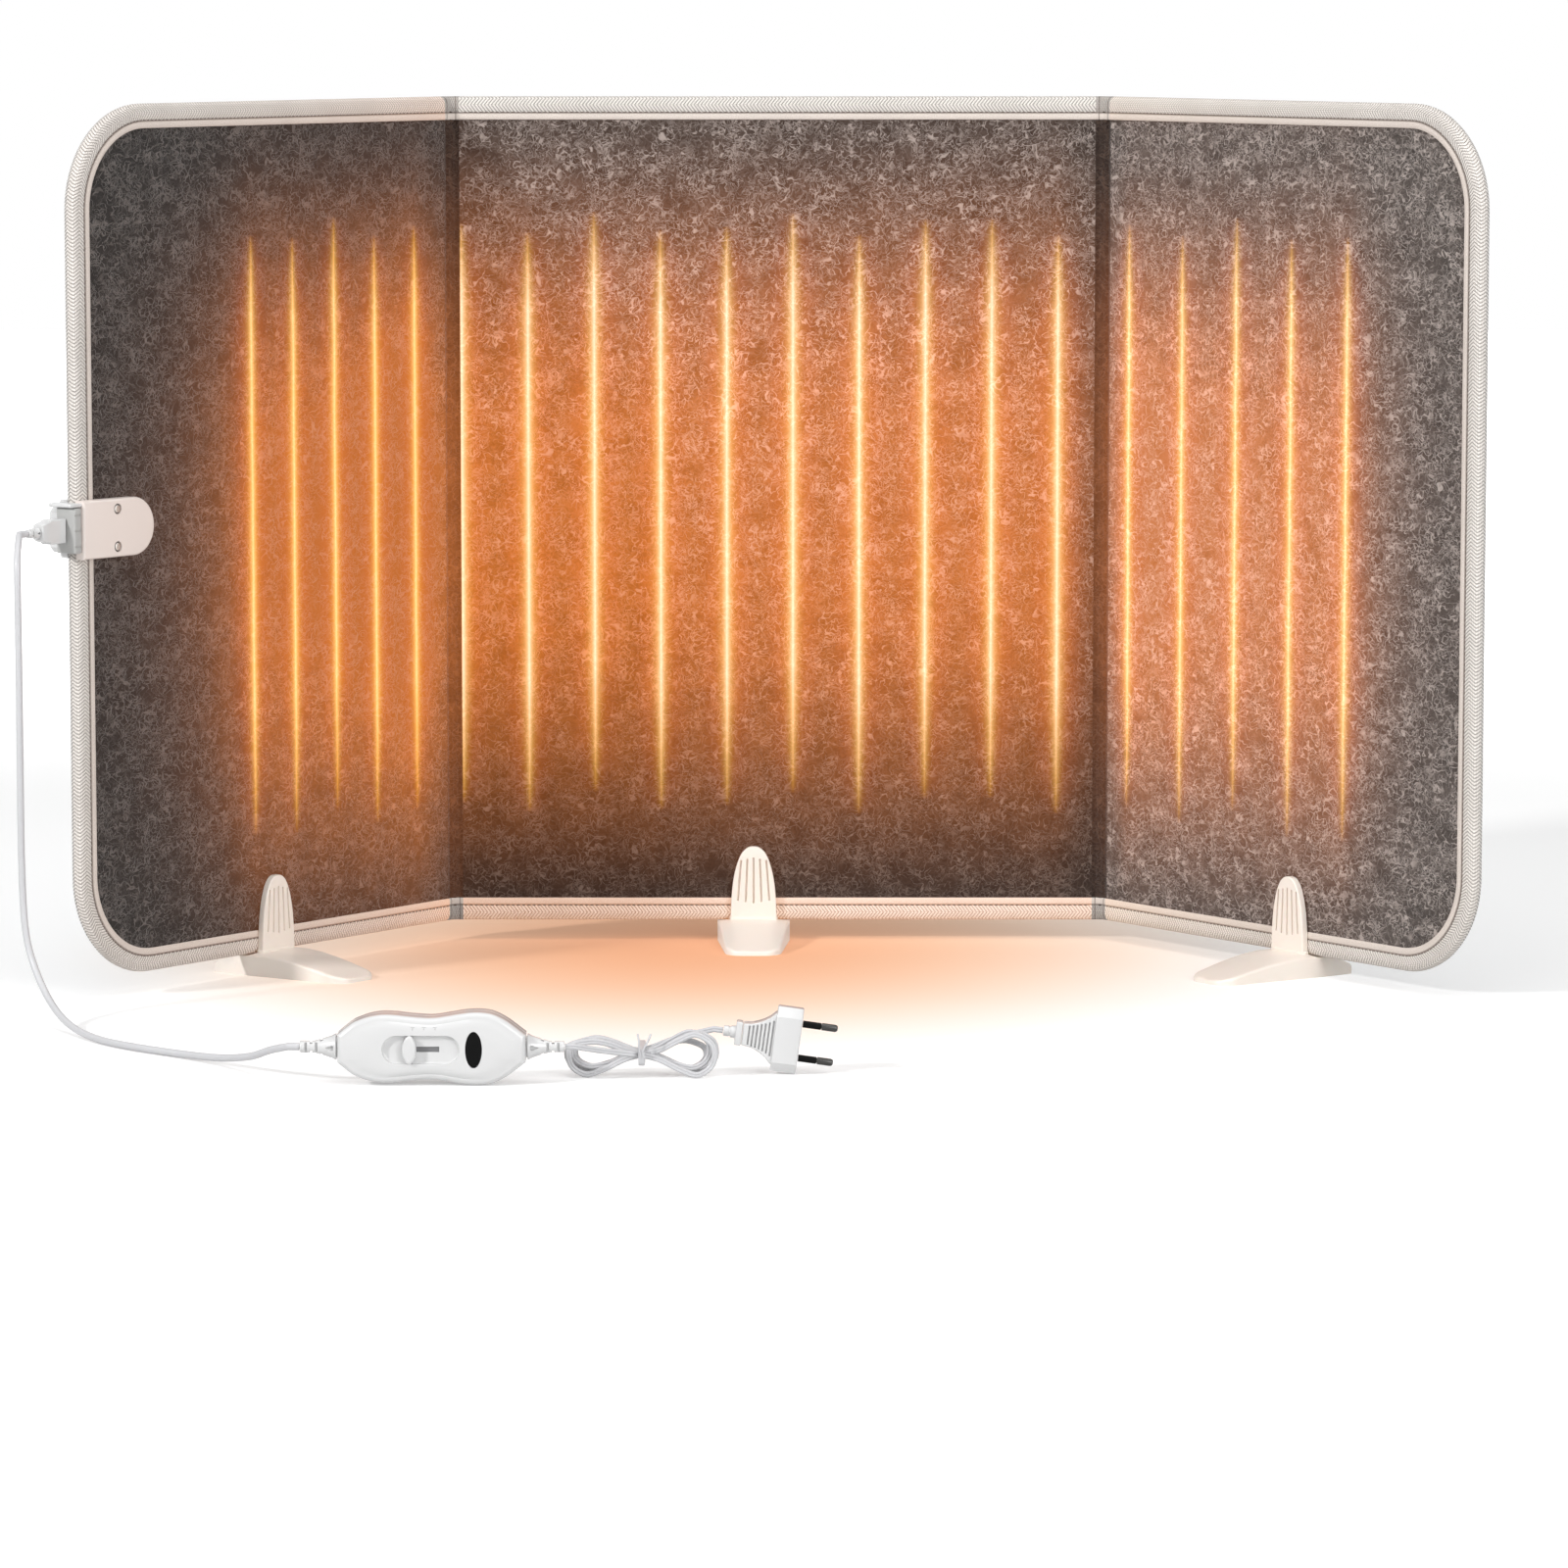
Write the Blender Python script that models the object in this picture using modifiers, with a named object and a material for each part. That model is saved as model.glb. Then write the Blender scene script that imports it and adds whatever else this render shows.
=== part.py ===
"""Folding under desk heater panel: three felt panels, clip-on feet, lead, controller and mains cord.

Metres, +Z up. The origin is on the floor under the middle of the centre panel. The front faces -Y.
Every panel is built flat in its own frame: the frame's origin is on the front plane of the edge
binding, depth runs to +Y, and a wing's frame is turned about the fold that carries it.
"""
import math

import bmesh
import bpy
from mathutils import Matrix, Vector

# Driving dimensions of the panels
PANEL_HEIGHT = 0.500
FOLD_TO_FOLD = 0.393
WING_WIDTH = 0.330
WING_TURN_DEG = 52.5
CORNER_RADIUS = 0.060
FLOOR_CLEARANCE = 0.012
FOLD_GAP = 0.005
CORNER_STEPS = 8
RIDGE_TURNS = (0.25, 0.0, -0.25)

# Layers of a panel, front to back
FELT_THICKNESS = 0.0014
WIRE_DIAMETER = 0.0010
BOARD_THICKNESS = 0.0022
TAPE_THICKNESS = 0.0008
TAPE_LEG = 0.014
TAPE_NOSE = 0.0032
GAP = 0.0003
NOSE_SHARES = ((0.0, 0.27), (0.33, 0.74), (1.0, 1.0))

# Heating wire
CENTER_LINES = 10
CENTER_PITCH = 0.0400
CENTER_FIRST_LINE = -0.189
WING_LINES = 5
LEFT_PITCH = 0.0365
LEFT_FIRST_LINE = 0.037
RIGHT_PITCH = 0.0486
RIGHT_FIRST_LINE = 0.0235
LINE_BOTTOM = 0.087
LINE_TOP = 0.425
TURN_STEPS = 6

# Clip-on feet
FOOT_HEEL_WIDTH = 0.044
FOOT_TOE_WIDTH = 0.034
FOOT_TOE_REACH = 0.068
FOOT_HEEL_REACH = 0.020
FOOT_TOE_ROUND = 0.011
FOOT_SEAT_COVER = 0.0016
FOOT_TOE_HEIGHT = 0.0022
FOOT_HEEL_HEIGHT = 0.0040
FOOT_FLAT_REACH = 0.006
TONGUE_WIDTH = 0.0283
TONGUE_HEIGHT = 0.046
TONGUE_THICKNESS = 0.0040
TONGUE_ROOT = 0.004
TONGUE_SHARES = (
    (0.0, 1.0), (0.25, 0.97), (0.5, 0.88), (0.7, 0.77), (0.85, 0.64), (0.94, 0.5), (1.0, 0.26),
)
TOE_SLOPE_SHARES = ((0.25, 0.80), (0.62, 0.58), (0.90, 0.32))
GROOVES = 5
GROOVE_WIDTH = 0.0008
GROOVE_DEPTH = 0.0006
GROOVE_PITCH = 0.0043
GROOVE_LOW = 0.011
GROOVE_HIGH = 0.040
GROOVE_LEAN_DEG = 2.2
CENTER_FOOT_X = -0.0145
LEFT_FOOT_PLACE = 0.166
RIGHT_FOOT_PLACE = 0.176
OVERRUN = 0.004
MERGE_DISTANCE = 0.000001

# Connector on the outer edge of the left wing
CONNECTOR_RISE = 0.010
SHELL_HEIGHT = 0.0335
FRONT_SHELL_REACH = 0.058
FRONT_SHELL_DEPTH = 0.0065
FRONT_SHELL_ROUND = 0.0014
RIM_STEPS = 3
SHELL_PROUD = 0.001
BACK_SHELL_REACH = 0.030
BACK_SHELL_DEPTH = 0.0100
BACK_LOBE_HEIGHT = 0.026
BACK_LOBE_REACH = 0.006
BACK_SHELL_EDGE = 0.004
BACK_SHELL_CROWN_SHARE = 0.70
ROUND_STEPS = 12
SCREW_SPACING = 0.0216
SCREW_SET_IN = 0.027
SCREW_RADIUS = 0.0022
SCREW_HEAD = 0.0008
SOCKET_REACH = 0.007
SOCKET_HEIGHT = 0.026
SOCKET_FRONT_SET = 0.0010
SOCKET_CAVITY = 0.0042
PLUG_HEIGHT = 0.0120
PLUG_THICKNESS = 0.0078
PLUG_LENGTH = 0.0195
PLUG_NOSE_STEP = 0.0012
PLUG_TAIL_SHARE = 0.72
PLUG_RELIEF_LENGTH = 0.0085
PLUG_RELIEF_RADIUS = 0.0034
ROUND_SIDES = 16

# Lead cord, from the connector to the controller
LEAD_DIAMETER = 0.0040
LEAD_STUB = 0.0060
LEAD_POINTS = (
    (-0.4262, -0.3040, 0.2695),
    (-0.4262, -0.3120, 0.2610),
    (-0.4258, -0.3165, 0.2450),
    (-0.4255, -0.3178, 0.2000),
    (-0.4255, -0.3180, 0.1400),
    (-0.4252, -0.3188, 0.0850),
    (-0.4230, -0.3230, 0.0500),
    (-0.4165, -0.3320, 0.0290),
    (-0.4055, -0.3495, 0.0120),
    (-0.3915, -0.3780, 0.0042),
    (-0.3735, -0.4110, 0.0024),
    (-0.3520, -0.4370, 0.0024),
    (-0.3260, -0.4600, 0.0024),
    (-0.3020, -0.4850, 0.0040),
    (-0.2830, -0.5120, 0.0090),
    (-0.2700, -0.5340, 0.0160),
)
LEAD_STEP = 0.0105

# Controller on the lead, standing on its long edge
CONTROLLER_X = -0.1830
CONTROLLER_Y = -0.5460
CONTROLLER_LENGTH = 0.1000
CONTROLLER_HEIGHT = 0.0390
CONTROLLER_DEPTH = 0.0220
CONTROLLER_WALL = 0.0018
CONTROLLER_ROUND = 0.0042
BODY_SHARES = (
    (-1.0, 0.40), (-0.985, 0.52), (-0.94, 0.66), (-0.85, 0.83), (-0.72, 0.94), (-0.60, 0.97),
    (-0.45, 0.92), (-0.28, 0.83), (-0.10, 0.79), (0.08, 0.82), (0.25, 0.91), (0.42, 0.985),
    (0.54, 1.0), (0.68, 0.97), (0.82, 0.85), (0.93, 0.67), (0.985, 0.52), (1.0, 0.40),
)
RECESS_FROM = -0.0262
RECESS_TO = 0.0152
RECESS_HEIGHT = 0.0152
RECESS_DEPTH = 0.0008
SLIDER_X = -0.0116
SLIDER_TRAVEL = 0.0115
SLIDER_WIDTH = 0.0080
SLIDER_HEIGHT = 0.0146
SLIDER_PROUD = 0.0016
SLIDER_STEM = 0.0024
SLIDER_SLOT_END = 0.0042
SLOT_HEIGHT = 0.0029
LEAF_SHARES = (
    (-1.0, 0.0), (-0.72, 0.46), (-0.35, 0.84), (0.0, 1.0), (0.35, 0.84), (0.72, 0.46), (1.0, 0.0),
)
LENS_X = 0.0225
LENS_WIDTH = 0.0086
LENS_HEIGHT = 0.0192
BOARD_LENGTH = 0.070
BOARD_HEIGHT = 0.020
CIRCUIT_THICKNESS = 0.0016
SWITCH_LENGTH = 0.024
SWITCH_HEIGHT = 0.0085
RELIEF_LENGTH = 0.0200
RELIEF_RADIUS = 0.0052
RELIEF_TIP_RADIUS = 0.0032
RELIEF_RIBS = 3
RIB_DEPTH_SHARE = 0.80

# Mains cord with its hank
MAINS_DIAMETER = 0.0033
HANK_LOOPS = 4
HANK_LENGTH = 0.0815
HANK_HEIGHT = 0.0250
HANK_PITCH = 0.0041
HANK_X = -0.0720
HANK_Y = -0.5230
WAIST_SHARE = 0.42
WAIST_STRAND_SHARE = 0.16
END_STRAND_SHARE = 0.25
LEAD_IN_SHARE = 0.55
END_STEPS = 7
RUN_STEPS = 5
TIE_WIDTH = 0.0065
TIE_THICKNESS = 0.0007
TIE_STEPS = 8
TIE_SLACK = 0.0008

# Mains plug, a flat two-pin plug standing on its narrow side
MAINS_PLUG_X = 0.0125
MAINS_PLUG_TILT_DEG = 8.0
MAINS_PLUG_HEIGHT = 0.0353
MAINS_PLUG_THICKNESS = 0.0137
BLOCK_LENGTH = 0.0140
GRIP_LENGTH = 0.0170
GRIP_HEIGHT = 0.0280
GRIP_THICKNESS = 0.0105
GRIP_SHARES = ((0.0, 1.0), (0.2, 0.78), (0.45, 0.59), (0.7, 0.47), (1.0, 0.42))
BLOCK_CHAMFER = 0.0052
BLOCK_CHAMFER_DEPTH = 0.0036
COLLAR_LENGTH = 0.0100
FLANGE_LENGTH = 0.0036
FLANGE_RADIUS = 0.0064
NECK_RADIUS = 0.0036
COLLAR_TIP_RADIUS = 0.0028
PIN_SPACING = 0.0186
PIN_RADIUS = 0.0020
PIN_NECK_RADIUS = 0.0013
PIN_LENGTH = 0.0190
SLEEVE_LENGTH = 0.0100
SLEEVE_RADIUS = 0.0019
SLEEVE_BORE_RADIUS = 0.0016

# Sizes that follow from the ones above
STACK = 2 * FELT_THICKNESS + WIRE_DIAMETER + BOARD_THICKNESS + 3 * GAP
BINDING_DEPTH = STACK + 2 * (GAP + TAPE_THICKNESS)
FELT_SET = TAPE_THICKNESS + GAP
STACK_SET = TAPE_NOSE + GAP
PANEL_BOTTOM = FLOOR_CLEARANCE
PANEL_TOP = PANEL_BOTTOM + PANEL_HEIGHT
FOLD_X = FOLD_TO_FOLD / 2
FRONT_Y = -BINDING_DEPTH / 2
CENTER_HALF = FOLD_X - FOLD_GAP
CONNECTOR_Z = PANEL_BOTTOM + PANEL_HEIGHT / 2 + CONNECTOR_RISE
SOCKET_START = WING_WIDTH + SHELL_PROUD + GAP
SOCKET_END = SOCKET_START + SOCKET_REACH - SHELL_PROUD
PLUG_START = SOCKET_END + GAP
PLUG_END = PLUG_START + PLUG_LENGTH
LEAD_START = PLUG_END + PLUG_RELIEF_LENGTH + 2 * GAP
MAINS_RADIUS = MAINS_DIAMETER / 2
LEFT, RIGHT = -1, 1

for old in list(bpy.data.objects):
    bpy.data.objects.remove(old, do_unlink=True)

parts = bpy.data.collections.new("under_desk_heater_panel")
cutters = bpy.data.collections.new("cutters")
for collection in (parts, cutters):
    bpy.context.scene.collection.children.link(collection)


def finish(name, color, roughness, metallic=0.0, glow=None):
    """A Principled material with one colour."""
    made = bpy.data.materials.new(name)
    made.use_nodes = True
    shader = made.node_tree.nodes["Principled BSDF"]
    shader.inputs["Base Color"].default_value = (*color, 1.0)
    shader.inputs["Roughness"].default_value = roughness
    shader.inputs["Metallic"].default_value = metallic
    if glow:
        shader.inputs["Emission Color"].default_value = (*glow, 1.0)
        shader.inputs["Emission Strength"].default_value = 1.0
    made.diffuse_color = (*color, 1.0)
    return made


FRONT_FELT = finish("front_felt", (0.095, 0.080, 0.072), 0.95)
BACK_FELT = finish("back_felt", (0.42, 0.45, 0.49), 0.95)
FOLD_FELT = finish("fold_felt", (0.060, 0.050, 0.045), 0.95)
BOARD = finish("core_board", (0.55, 0.46, 0.36), 0.85)
WIRE = finish("heating_wire", (1.0, 0.55, 0.20), 0.50, glow=(1.0, 0.62, 0.22))
TAPE = finish("binding_tape", (0.80, 0.76, 0.71), 0.90)
FOOT = finish("foot_plastic", (0.84, 0.81, 0.77), 0.38)
SHELL = finish("connector_plastic", (0.78, 0.72, 0.67), 0.40)
SOCKET = finish("socket_plastic", (0.42, 0.42, 0.41), 0.50)
STEEL = finish("screw_steel", (0.45, 0.44, 0.43), 0.30, 1.0)
CORD = finish("cord_jacket", (0.80, 0.80, 0.79), 0.45)
GLOSS = finish("controller_plastic", (0.86, 0.86, 0.86), 0.20)
LENS = finish("indicator_lens", (0.01, 0.01, 0.01), 0.05)
CIRCUIT = finish("circuit_board", (0.04, 0.22, 0.10), 0.50)
SWITCH = finish("switch_plastic", (0.03, 0.03, 0.03), 0.45)
NICKEL = finish("pin_metal", (0.72, 0.71, 0.68), 0.22, 1.0)
SLEEVE = finish("sleeve_plastic", (0.02, 0.02, 0.02), 0.40)


def frame_at(name, place, turn_deg=0.0):
    """An empty that carries the pieces of one panel."""
    empty = bpy.data.objects.new(name, None)
    empty.location = place
    empty.rotation_euler = (0.0, 0.0, math.radians(turn_deg))
    parts.objects.link(empty)
    return empty


def put(name, data, material, parent=None, matrix=None, where=parts):
    """Adds one object with its material; a cutter or guide goes to the cutters."""
    thing = bpy.data.objects.new(name, data)
    if material:
        thing.data.materials.clear()
        thing.data.materials.append(material)
    thing.parent = parent
    if matrix:
        thing.matrix_local = matrix
    where.objects.link(thing)
    if where is cutters:
        thing.hide_render = True
        thing.display_type = "WIRE"
    return thing


def upright(depth):
    """Stands a flat outline up: its X stays, its Y becomes height, at one depth."""
    return Matrix.Translation((0.0, depth, 0.0)) @ Matrix.Rotation(math.radians(90), 4, "X")


def flat_curve(name, loops, thickness):
    """A flat outline, with holes where more loops follow, extruded to a thickness."""
    curve = bpy.data.curves.new(name, "CURVE")
    curve.dimensions = "2D"
    curve.fill_mode = "BOTH"
    curve.extrude = thickness / 2
    for loop in loops:
        spline = curve.splines.new("POLY")
        spline.points.add(len(loop) - 1)
        for point, (x, y) in zip(spline.points, loop):
            point.co = (x, y, 0.0, 1.0)
        spline.use_cyclic_u = True
    return curve


def sheet(name, loop, front, back, material, parent, where=parts):
    """A plate from an upright outline (x, height), between two depths."""
    curve = flat_curve(name, [loop], back - front)
    return put(name, curve, material, parent, upright((front + back) / 2), where)


def solid(name, loop, front, back, parent=None, where=cutters):
    """The same plate as a mesh, for Booleans, with its caps welded."""
    guide = sheet(name + "_outline", loop, front, back, None, parent, cutters)
    return as_mesh(guide, name, parent, where)


def as_mesh(guide, name, parent, where):
    """Turns a curve into a mesh object in the same place and removes the curve."""
    bpy.context.view_layer.update()
    mesh = bpy.data.meshes.new_from_object(guide.evaluated_get(bpy.context.evaluated_depsgraph_get()))
    matrix = guide.matrix_local.copy()
    bpy.data.objects.remove(guide, do_unlink=True)
    shape = bmesh.new()
    shape.from_mesh(mesh)
    bmesh.ops.remove_doubles(shape, verts=shape.verts, dist=MERGE_DISTANCE)
    bmesh.ops.recalc_face_normals(shape, faces=shape.faces)
    shape.to_mesh(mesh)
    shape.free()
    return put(name, mesh, None, parent, matrix, where)


def round_rim(piece, radius, side=1):
    """Rounds the outer edge of a plate's front (side 1) or back (side -1) face."""
    shape = bmesh.new()
    shape.from_mesh(piece.data)
    inner = [edge for edge in shape.edges if edge.calc_face_angle() < MERGE_DISTANCE]
    bmesh.ops.dissolve_edges(shape, edges=inner, use_verts=False)
    level = max(side * vert.co.z for vert in shape.verts) - MERGE_DISTANCE
    rim = [edge for edge in shape.edges if all(side * vert.co.z > level for vert in edge.verts)]
    bmesh.ops.bevel(shape, geom=rim, offset=radius, segments=RIM_STEPS, profile=0.5, affect="EDGES",
                    clamp_overlap=True, material=-1)
    shape.to_mesh(piece.data)
    shape.free()


def end_on(place, x):
    """Matrix that turns a flat outline (across, height) to face along X, with its middle at one x."""
    stand = Matrix.Rotation(math.radians(90), 4, "Z") @ Matrix.Rotation(math.radians(90), 4, "X")
    return place @ Matrix.Translation((x, 0.0, 0.0)) @ stand


def box(name, low, high, parent, where=cutters, material=None):
    """A box between two corners."""
    size = Vector(high) - Vector(low)
    shape = bmesh.new()
    bmesh.ops.create_cube(shape, size=1.0)
    bmesh.ops.scale(shape, vec=size, verts=shape.verts)
    bmesh.ops.translate(shape, vec=(Vector(high) + Vector(low)) / 2, verts=shape.verts)
    mesh = bpy.data.meshes.new(name)
    shape.to_mesh(mesh)
    shape.free()
    return put(name, mesh, material, parent, None, where)


def cut(piece, tool, operation="DIFFERENCE"):
    """Adds one exact Boolean."""
    step = piece.modifiers.new(tool.name, "BOOLEAN")
    step.operation = operation
    step.object = tool
    step.solver = "EXACT"


def turned(name, profile, material, parent, matrix, closed=False):
    """A turned piece about its local Z; the profile (radius, height) runs down the outside."""
    mesh = bpy.data.meshes.new(name)
    edges = [(i, i + 1) for i in range(len(profile) - 1)]
    if closed:
        edges.append((len(profile) - 1, 0))
    mesh.from_pydata([(radius, 0.0, height) for radius, height in profile], edges, [])
    piece = put(name, mesh, material, parent, matrix)
    screw = piece.modifiers.new("turn", "SCREW")
    screw.steps = ROUND_SIDES
    screw.render_steps = ROUND_SIDES
    screw.use_merge_vertices = True
    screw.merge_threshold = MERGE_DISTANCE
    return piece


def along_x(place, direction=1):
    """Lays a turned piece's axis along X, its top towards one direction."""
    return Matrix.Translation(place) @ Matrix.Rotation(math.radians(90 * direction), 4, "Y")


def tube(name, points, diameter, resolution=2):
    """A cord or wire: a poly curve with a round bevel and filled ends."""
    curve = bpy.data.curves.new(name, "CURVE")
    curve.dimensions = "3D"
    curve.bevel_depth = diameter / 2
    curve.bevel_resolution = resolution
    curve.use_fill_caps = True
    spline = curve.splines.new("POLY")
    spline.points.add(len(points) - 1)
    for point, place in zip(spline.points, points):
        point.co = (*place, 1.0)
    return curve


def smooth_route(knots, step):
    """Points read from a smooth curve through the route's own points, about a step apart."""
    knots = [Vector(knot) for knot in knots]
    ends = [2 * knots[0] - knots[1], *knots, 2 * knots[-1] - knots[-2]]
    fine = []
    for before, start, end, after in zip(ends, ends[1:], ends[2:], ends[3:]):
        for i in range(20):
            t = i / 20
            fine.append(0.5 * (2 * start + (end - before) * t
                               + (2 * before - 5 * start + 4 * end - after) * t * t
                               + (3 * start - before - 3 * end + after) * t * t * t))
    fine.append(knots[-1])
    lengths = [0.0]
    for a, b in zip(fine, fine[1:]):
        lengths.append(lengths[-1] + (b - a).length)
    count = max(2, round(lengths[-1] / step))
    route, at = [], 0
    for i in range(count + 1):
        want = lengths[-1] * i / count
        while at < len(fine) - 2 and lengths[at + 1] < want:
            at += 1
        span = lengths[at + 1] - lengths[at]
        route.append(fine[at].lerp(fine[at + 1], (want - lengths[at]) / span))
    return route


def wing_point(side, out, depth, height):
    """World place of a point given in a wing's own frame, out from its fold."""
    turn = Matrix.Rotation(math.radians(-side * WING_TURN_DEG), 4, "Z")
    return Matrix.Translation((side * FOLD_X, FRONT_Y, 0.0)) @ turn @ Vector((side * out, depth, height))


# Panels
def wing_edge(side, inset):
    """Outline of a wing from the bottom of its fold, round the outer corners, to the top."""
    low, high = PANEL_BOTTOM + inset, PANEL_TOP - inset
    radius = CORNER_RADIUS - inset
    centre = WING_WIDTH - CORNER_RADIUS
    points = [(FOLD_GAP, low)]
    for turn, middle in ((-90, low + radius), (0, high - radius)):
        for i in range(CORNER_STEPS + 1):
            angle = math.radians(turn + 90 * i / CORNER_STEPS)
            points.append((centre + radius * math.cos(angle), middle + radius * math.sin(angle)))
    points.append((FOLD_GAP, high))
    return [(side * x, z) for x, z in points]


def center_edge(inset):
    """Outline of the centre panel's layers, which stop at the folds."""
    low, high = PANEL_BOTTOM + inset, PANEL_TOP - inset
    return [(-CENTER_HALF, low), (CENTER_HALF, low), (CENTER_HALF, high), (-CENTER_HALF, high)]


def tape_profile():
    """Section of the folded binding tape: inset from the outer edge, and depth about the middle."""
    half = BINDING_DEPTH / 2
    inner = half - TAPE_THICKNESS
    nose = [(TAPE_NOSE * a, half * b) for a, b in NOSE_SHARES]
    outside = [(TAPE_LEG, half), *reversed(nose)]
    inside = [(TAPE_LEG, inner), (TAPE_NOSE, inner)]
    upper = outside
    lower = [(a, -b) for a, b in reversed(outside)]
    return upper + lower + [(inside[0][0], -inner), (inside[1][0], -inner), (inside[1][0], inner),
                            (inside[0][0], inner)]


def binding(name, path, parent):
    """Tape folded over a panel edge: its section carried along the edge, which lies to the left."""
    section = bpy.data.curves.new(name + "_section", "CURVE")
    section.dimensions = "2D"
    spline = section.splines.new("POLY")
    loop = tape_profile()
    spline.points.add(len(loop) - 1)
    for point, (inset, depth) in zip(spline.points, loop):
        point.co = (-inset, depth, 0.0, 1.0)
    spline.use_cyclic_u = True
    guide = put(name + "_section", section, None, None, None, cutters)
    curve = bpy.data.curves.new(name, "CURVE")
    curve.dimensions = "2D"
    curve.bevel_mode = "OBJECT"
    curve.bevel_object = guide
    curve.use_fill_caps = True
    run = curve.splines.new("POLY")
    run.points.add(len(path) - 1)
    for point, (x, z) in zip(run.points, path):
        point.co = (x, z, 0.0, 1.0)
    return put(name, curve, TAPE, parent, upright(BINDING_DEPTH / 2))


def layers(prefix, outline, parent):
    """Front felt, core board and back felt of one panel."""
    depth = FELT_SET
    sheet(prefix + "_front_felt", outline, depth, depth + FELT_THICKNESS, FRONT_FELT, parent)
    depth += FELT_THICKNESS + 2 * GAP + WIRE_DIAMETER
    sheet(prefix + "_core_board", outline, depth, depth + BOARD_THICKNESS, BOARD, parent)
    depth += BOARD_THICKNESS + GAP
    sheet(prefix + "_back_felt", outline, depth, depth + FELT_THICKNESS, BACK_FELT, parent)


def heating_wire(prefix, first, pitch, count, parent):
    """One carbon wire laid up and down between the front felt and the core board."""
    depth = FELT_SET + FELT_THICKNESS + GAP + WIRE_DIAMETER / 2
    points = []
    for line in range(count):
        x = first + pitch * line
        low, high = (LINE_BOTTOM, LINE_TOP) if line % 2 == 0 else (LINE_TOP, LINE_BOTTOM)
        points.append((x, depth, low))
        points.append((x, depth, high))
        if line < count - 1:
            way = 1 if high > low else -1
            for i in range(1, TURN_STEPS):
                angle = math.pi * i / TURN_STEPS
                points.append((x + pitch / 2 * (1 - math.cos(angle)), depth,
                               high + way * abs(pitch) / 2 * math.sin(angle)))
    name = prefix + "_heating_wire"
    put(name, tube(name, points, WIRE_DIAMETER), WIRE, parent)


def fold_strip(name, side):
    """The soft felt fold between the centre panel and a wing, as the wedge that it fills."""
    axis = Vector((side * FOLD_X, FRONT_Y))
    start = FOLD_GAP - GAP
    front, back = FELT_SET, FELT_SET + STACK
    inner = [axis + Vector((-side * start, front)), axis + Vector((-side * start, back))]
    outer = [wing_point(side, start, depth, 0.0).xy for depth in (front, back)]
    reach = math.hypot(start, back)
    lead = math.radians(90 - side * WING_TURN_DEG / 2)
    ridge = [axis + reach * Vector((math.cos(lead + side * turn), math.sin(lead + side * turn)))
             for turn in RIDGE_TURNS]
    crease = axis + front * Vector((math.cos(lead), math.sin(lead)))
    loop = [inner[0], inner[1], *ridge, outer[1], outer[0], crease]
    curve = flat_curve(name, [[tuple(point) for point in loop]], PANEL_HEIGHT)
    place = Matrix.Translation((0.0, 0.0, PANEL_BOTTOM + PANEL_HEIGHT / 2))
    put(name, curve, FOLD_FELT, None, place)


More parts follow.
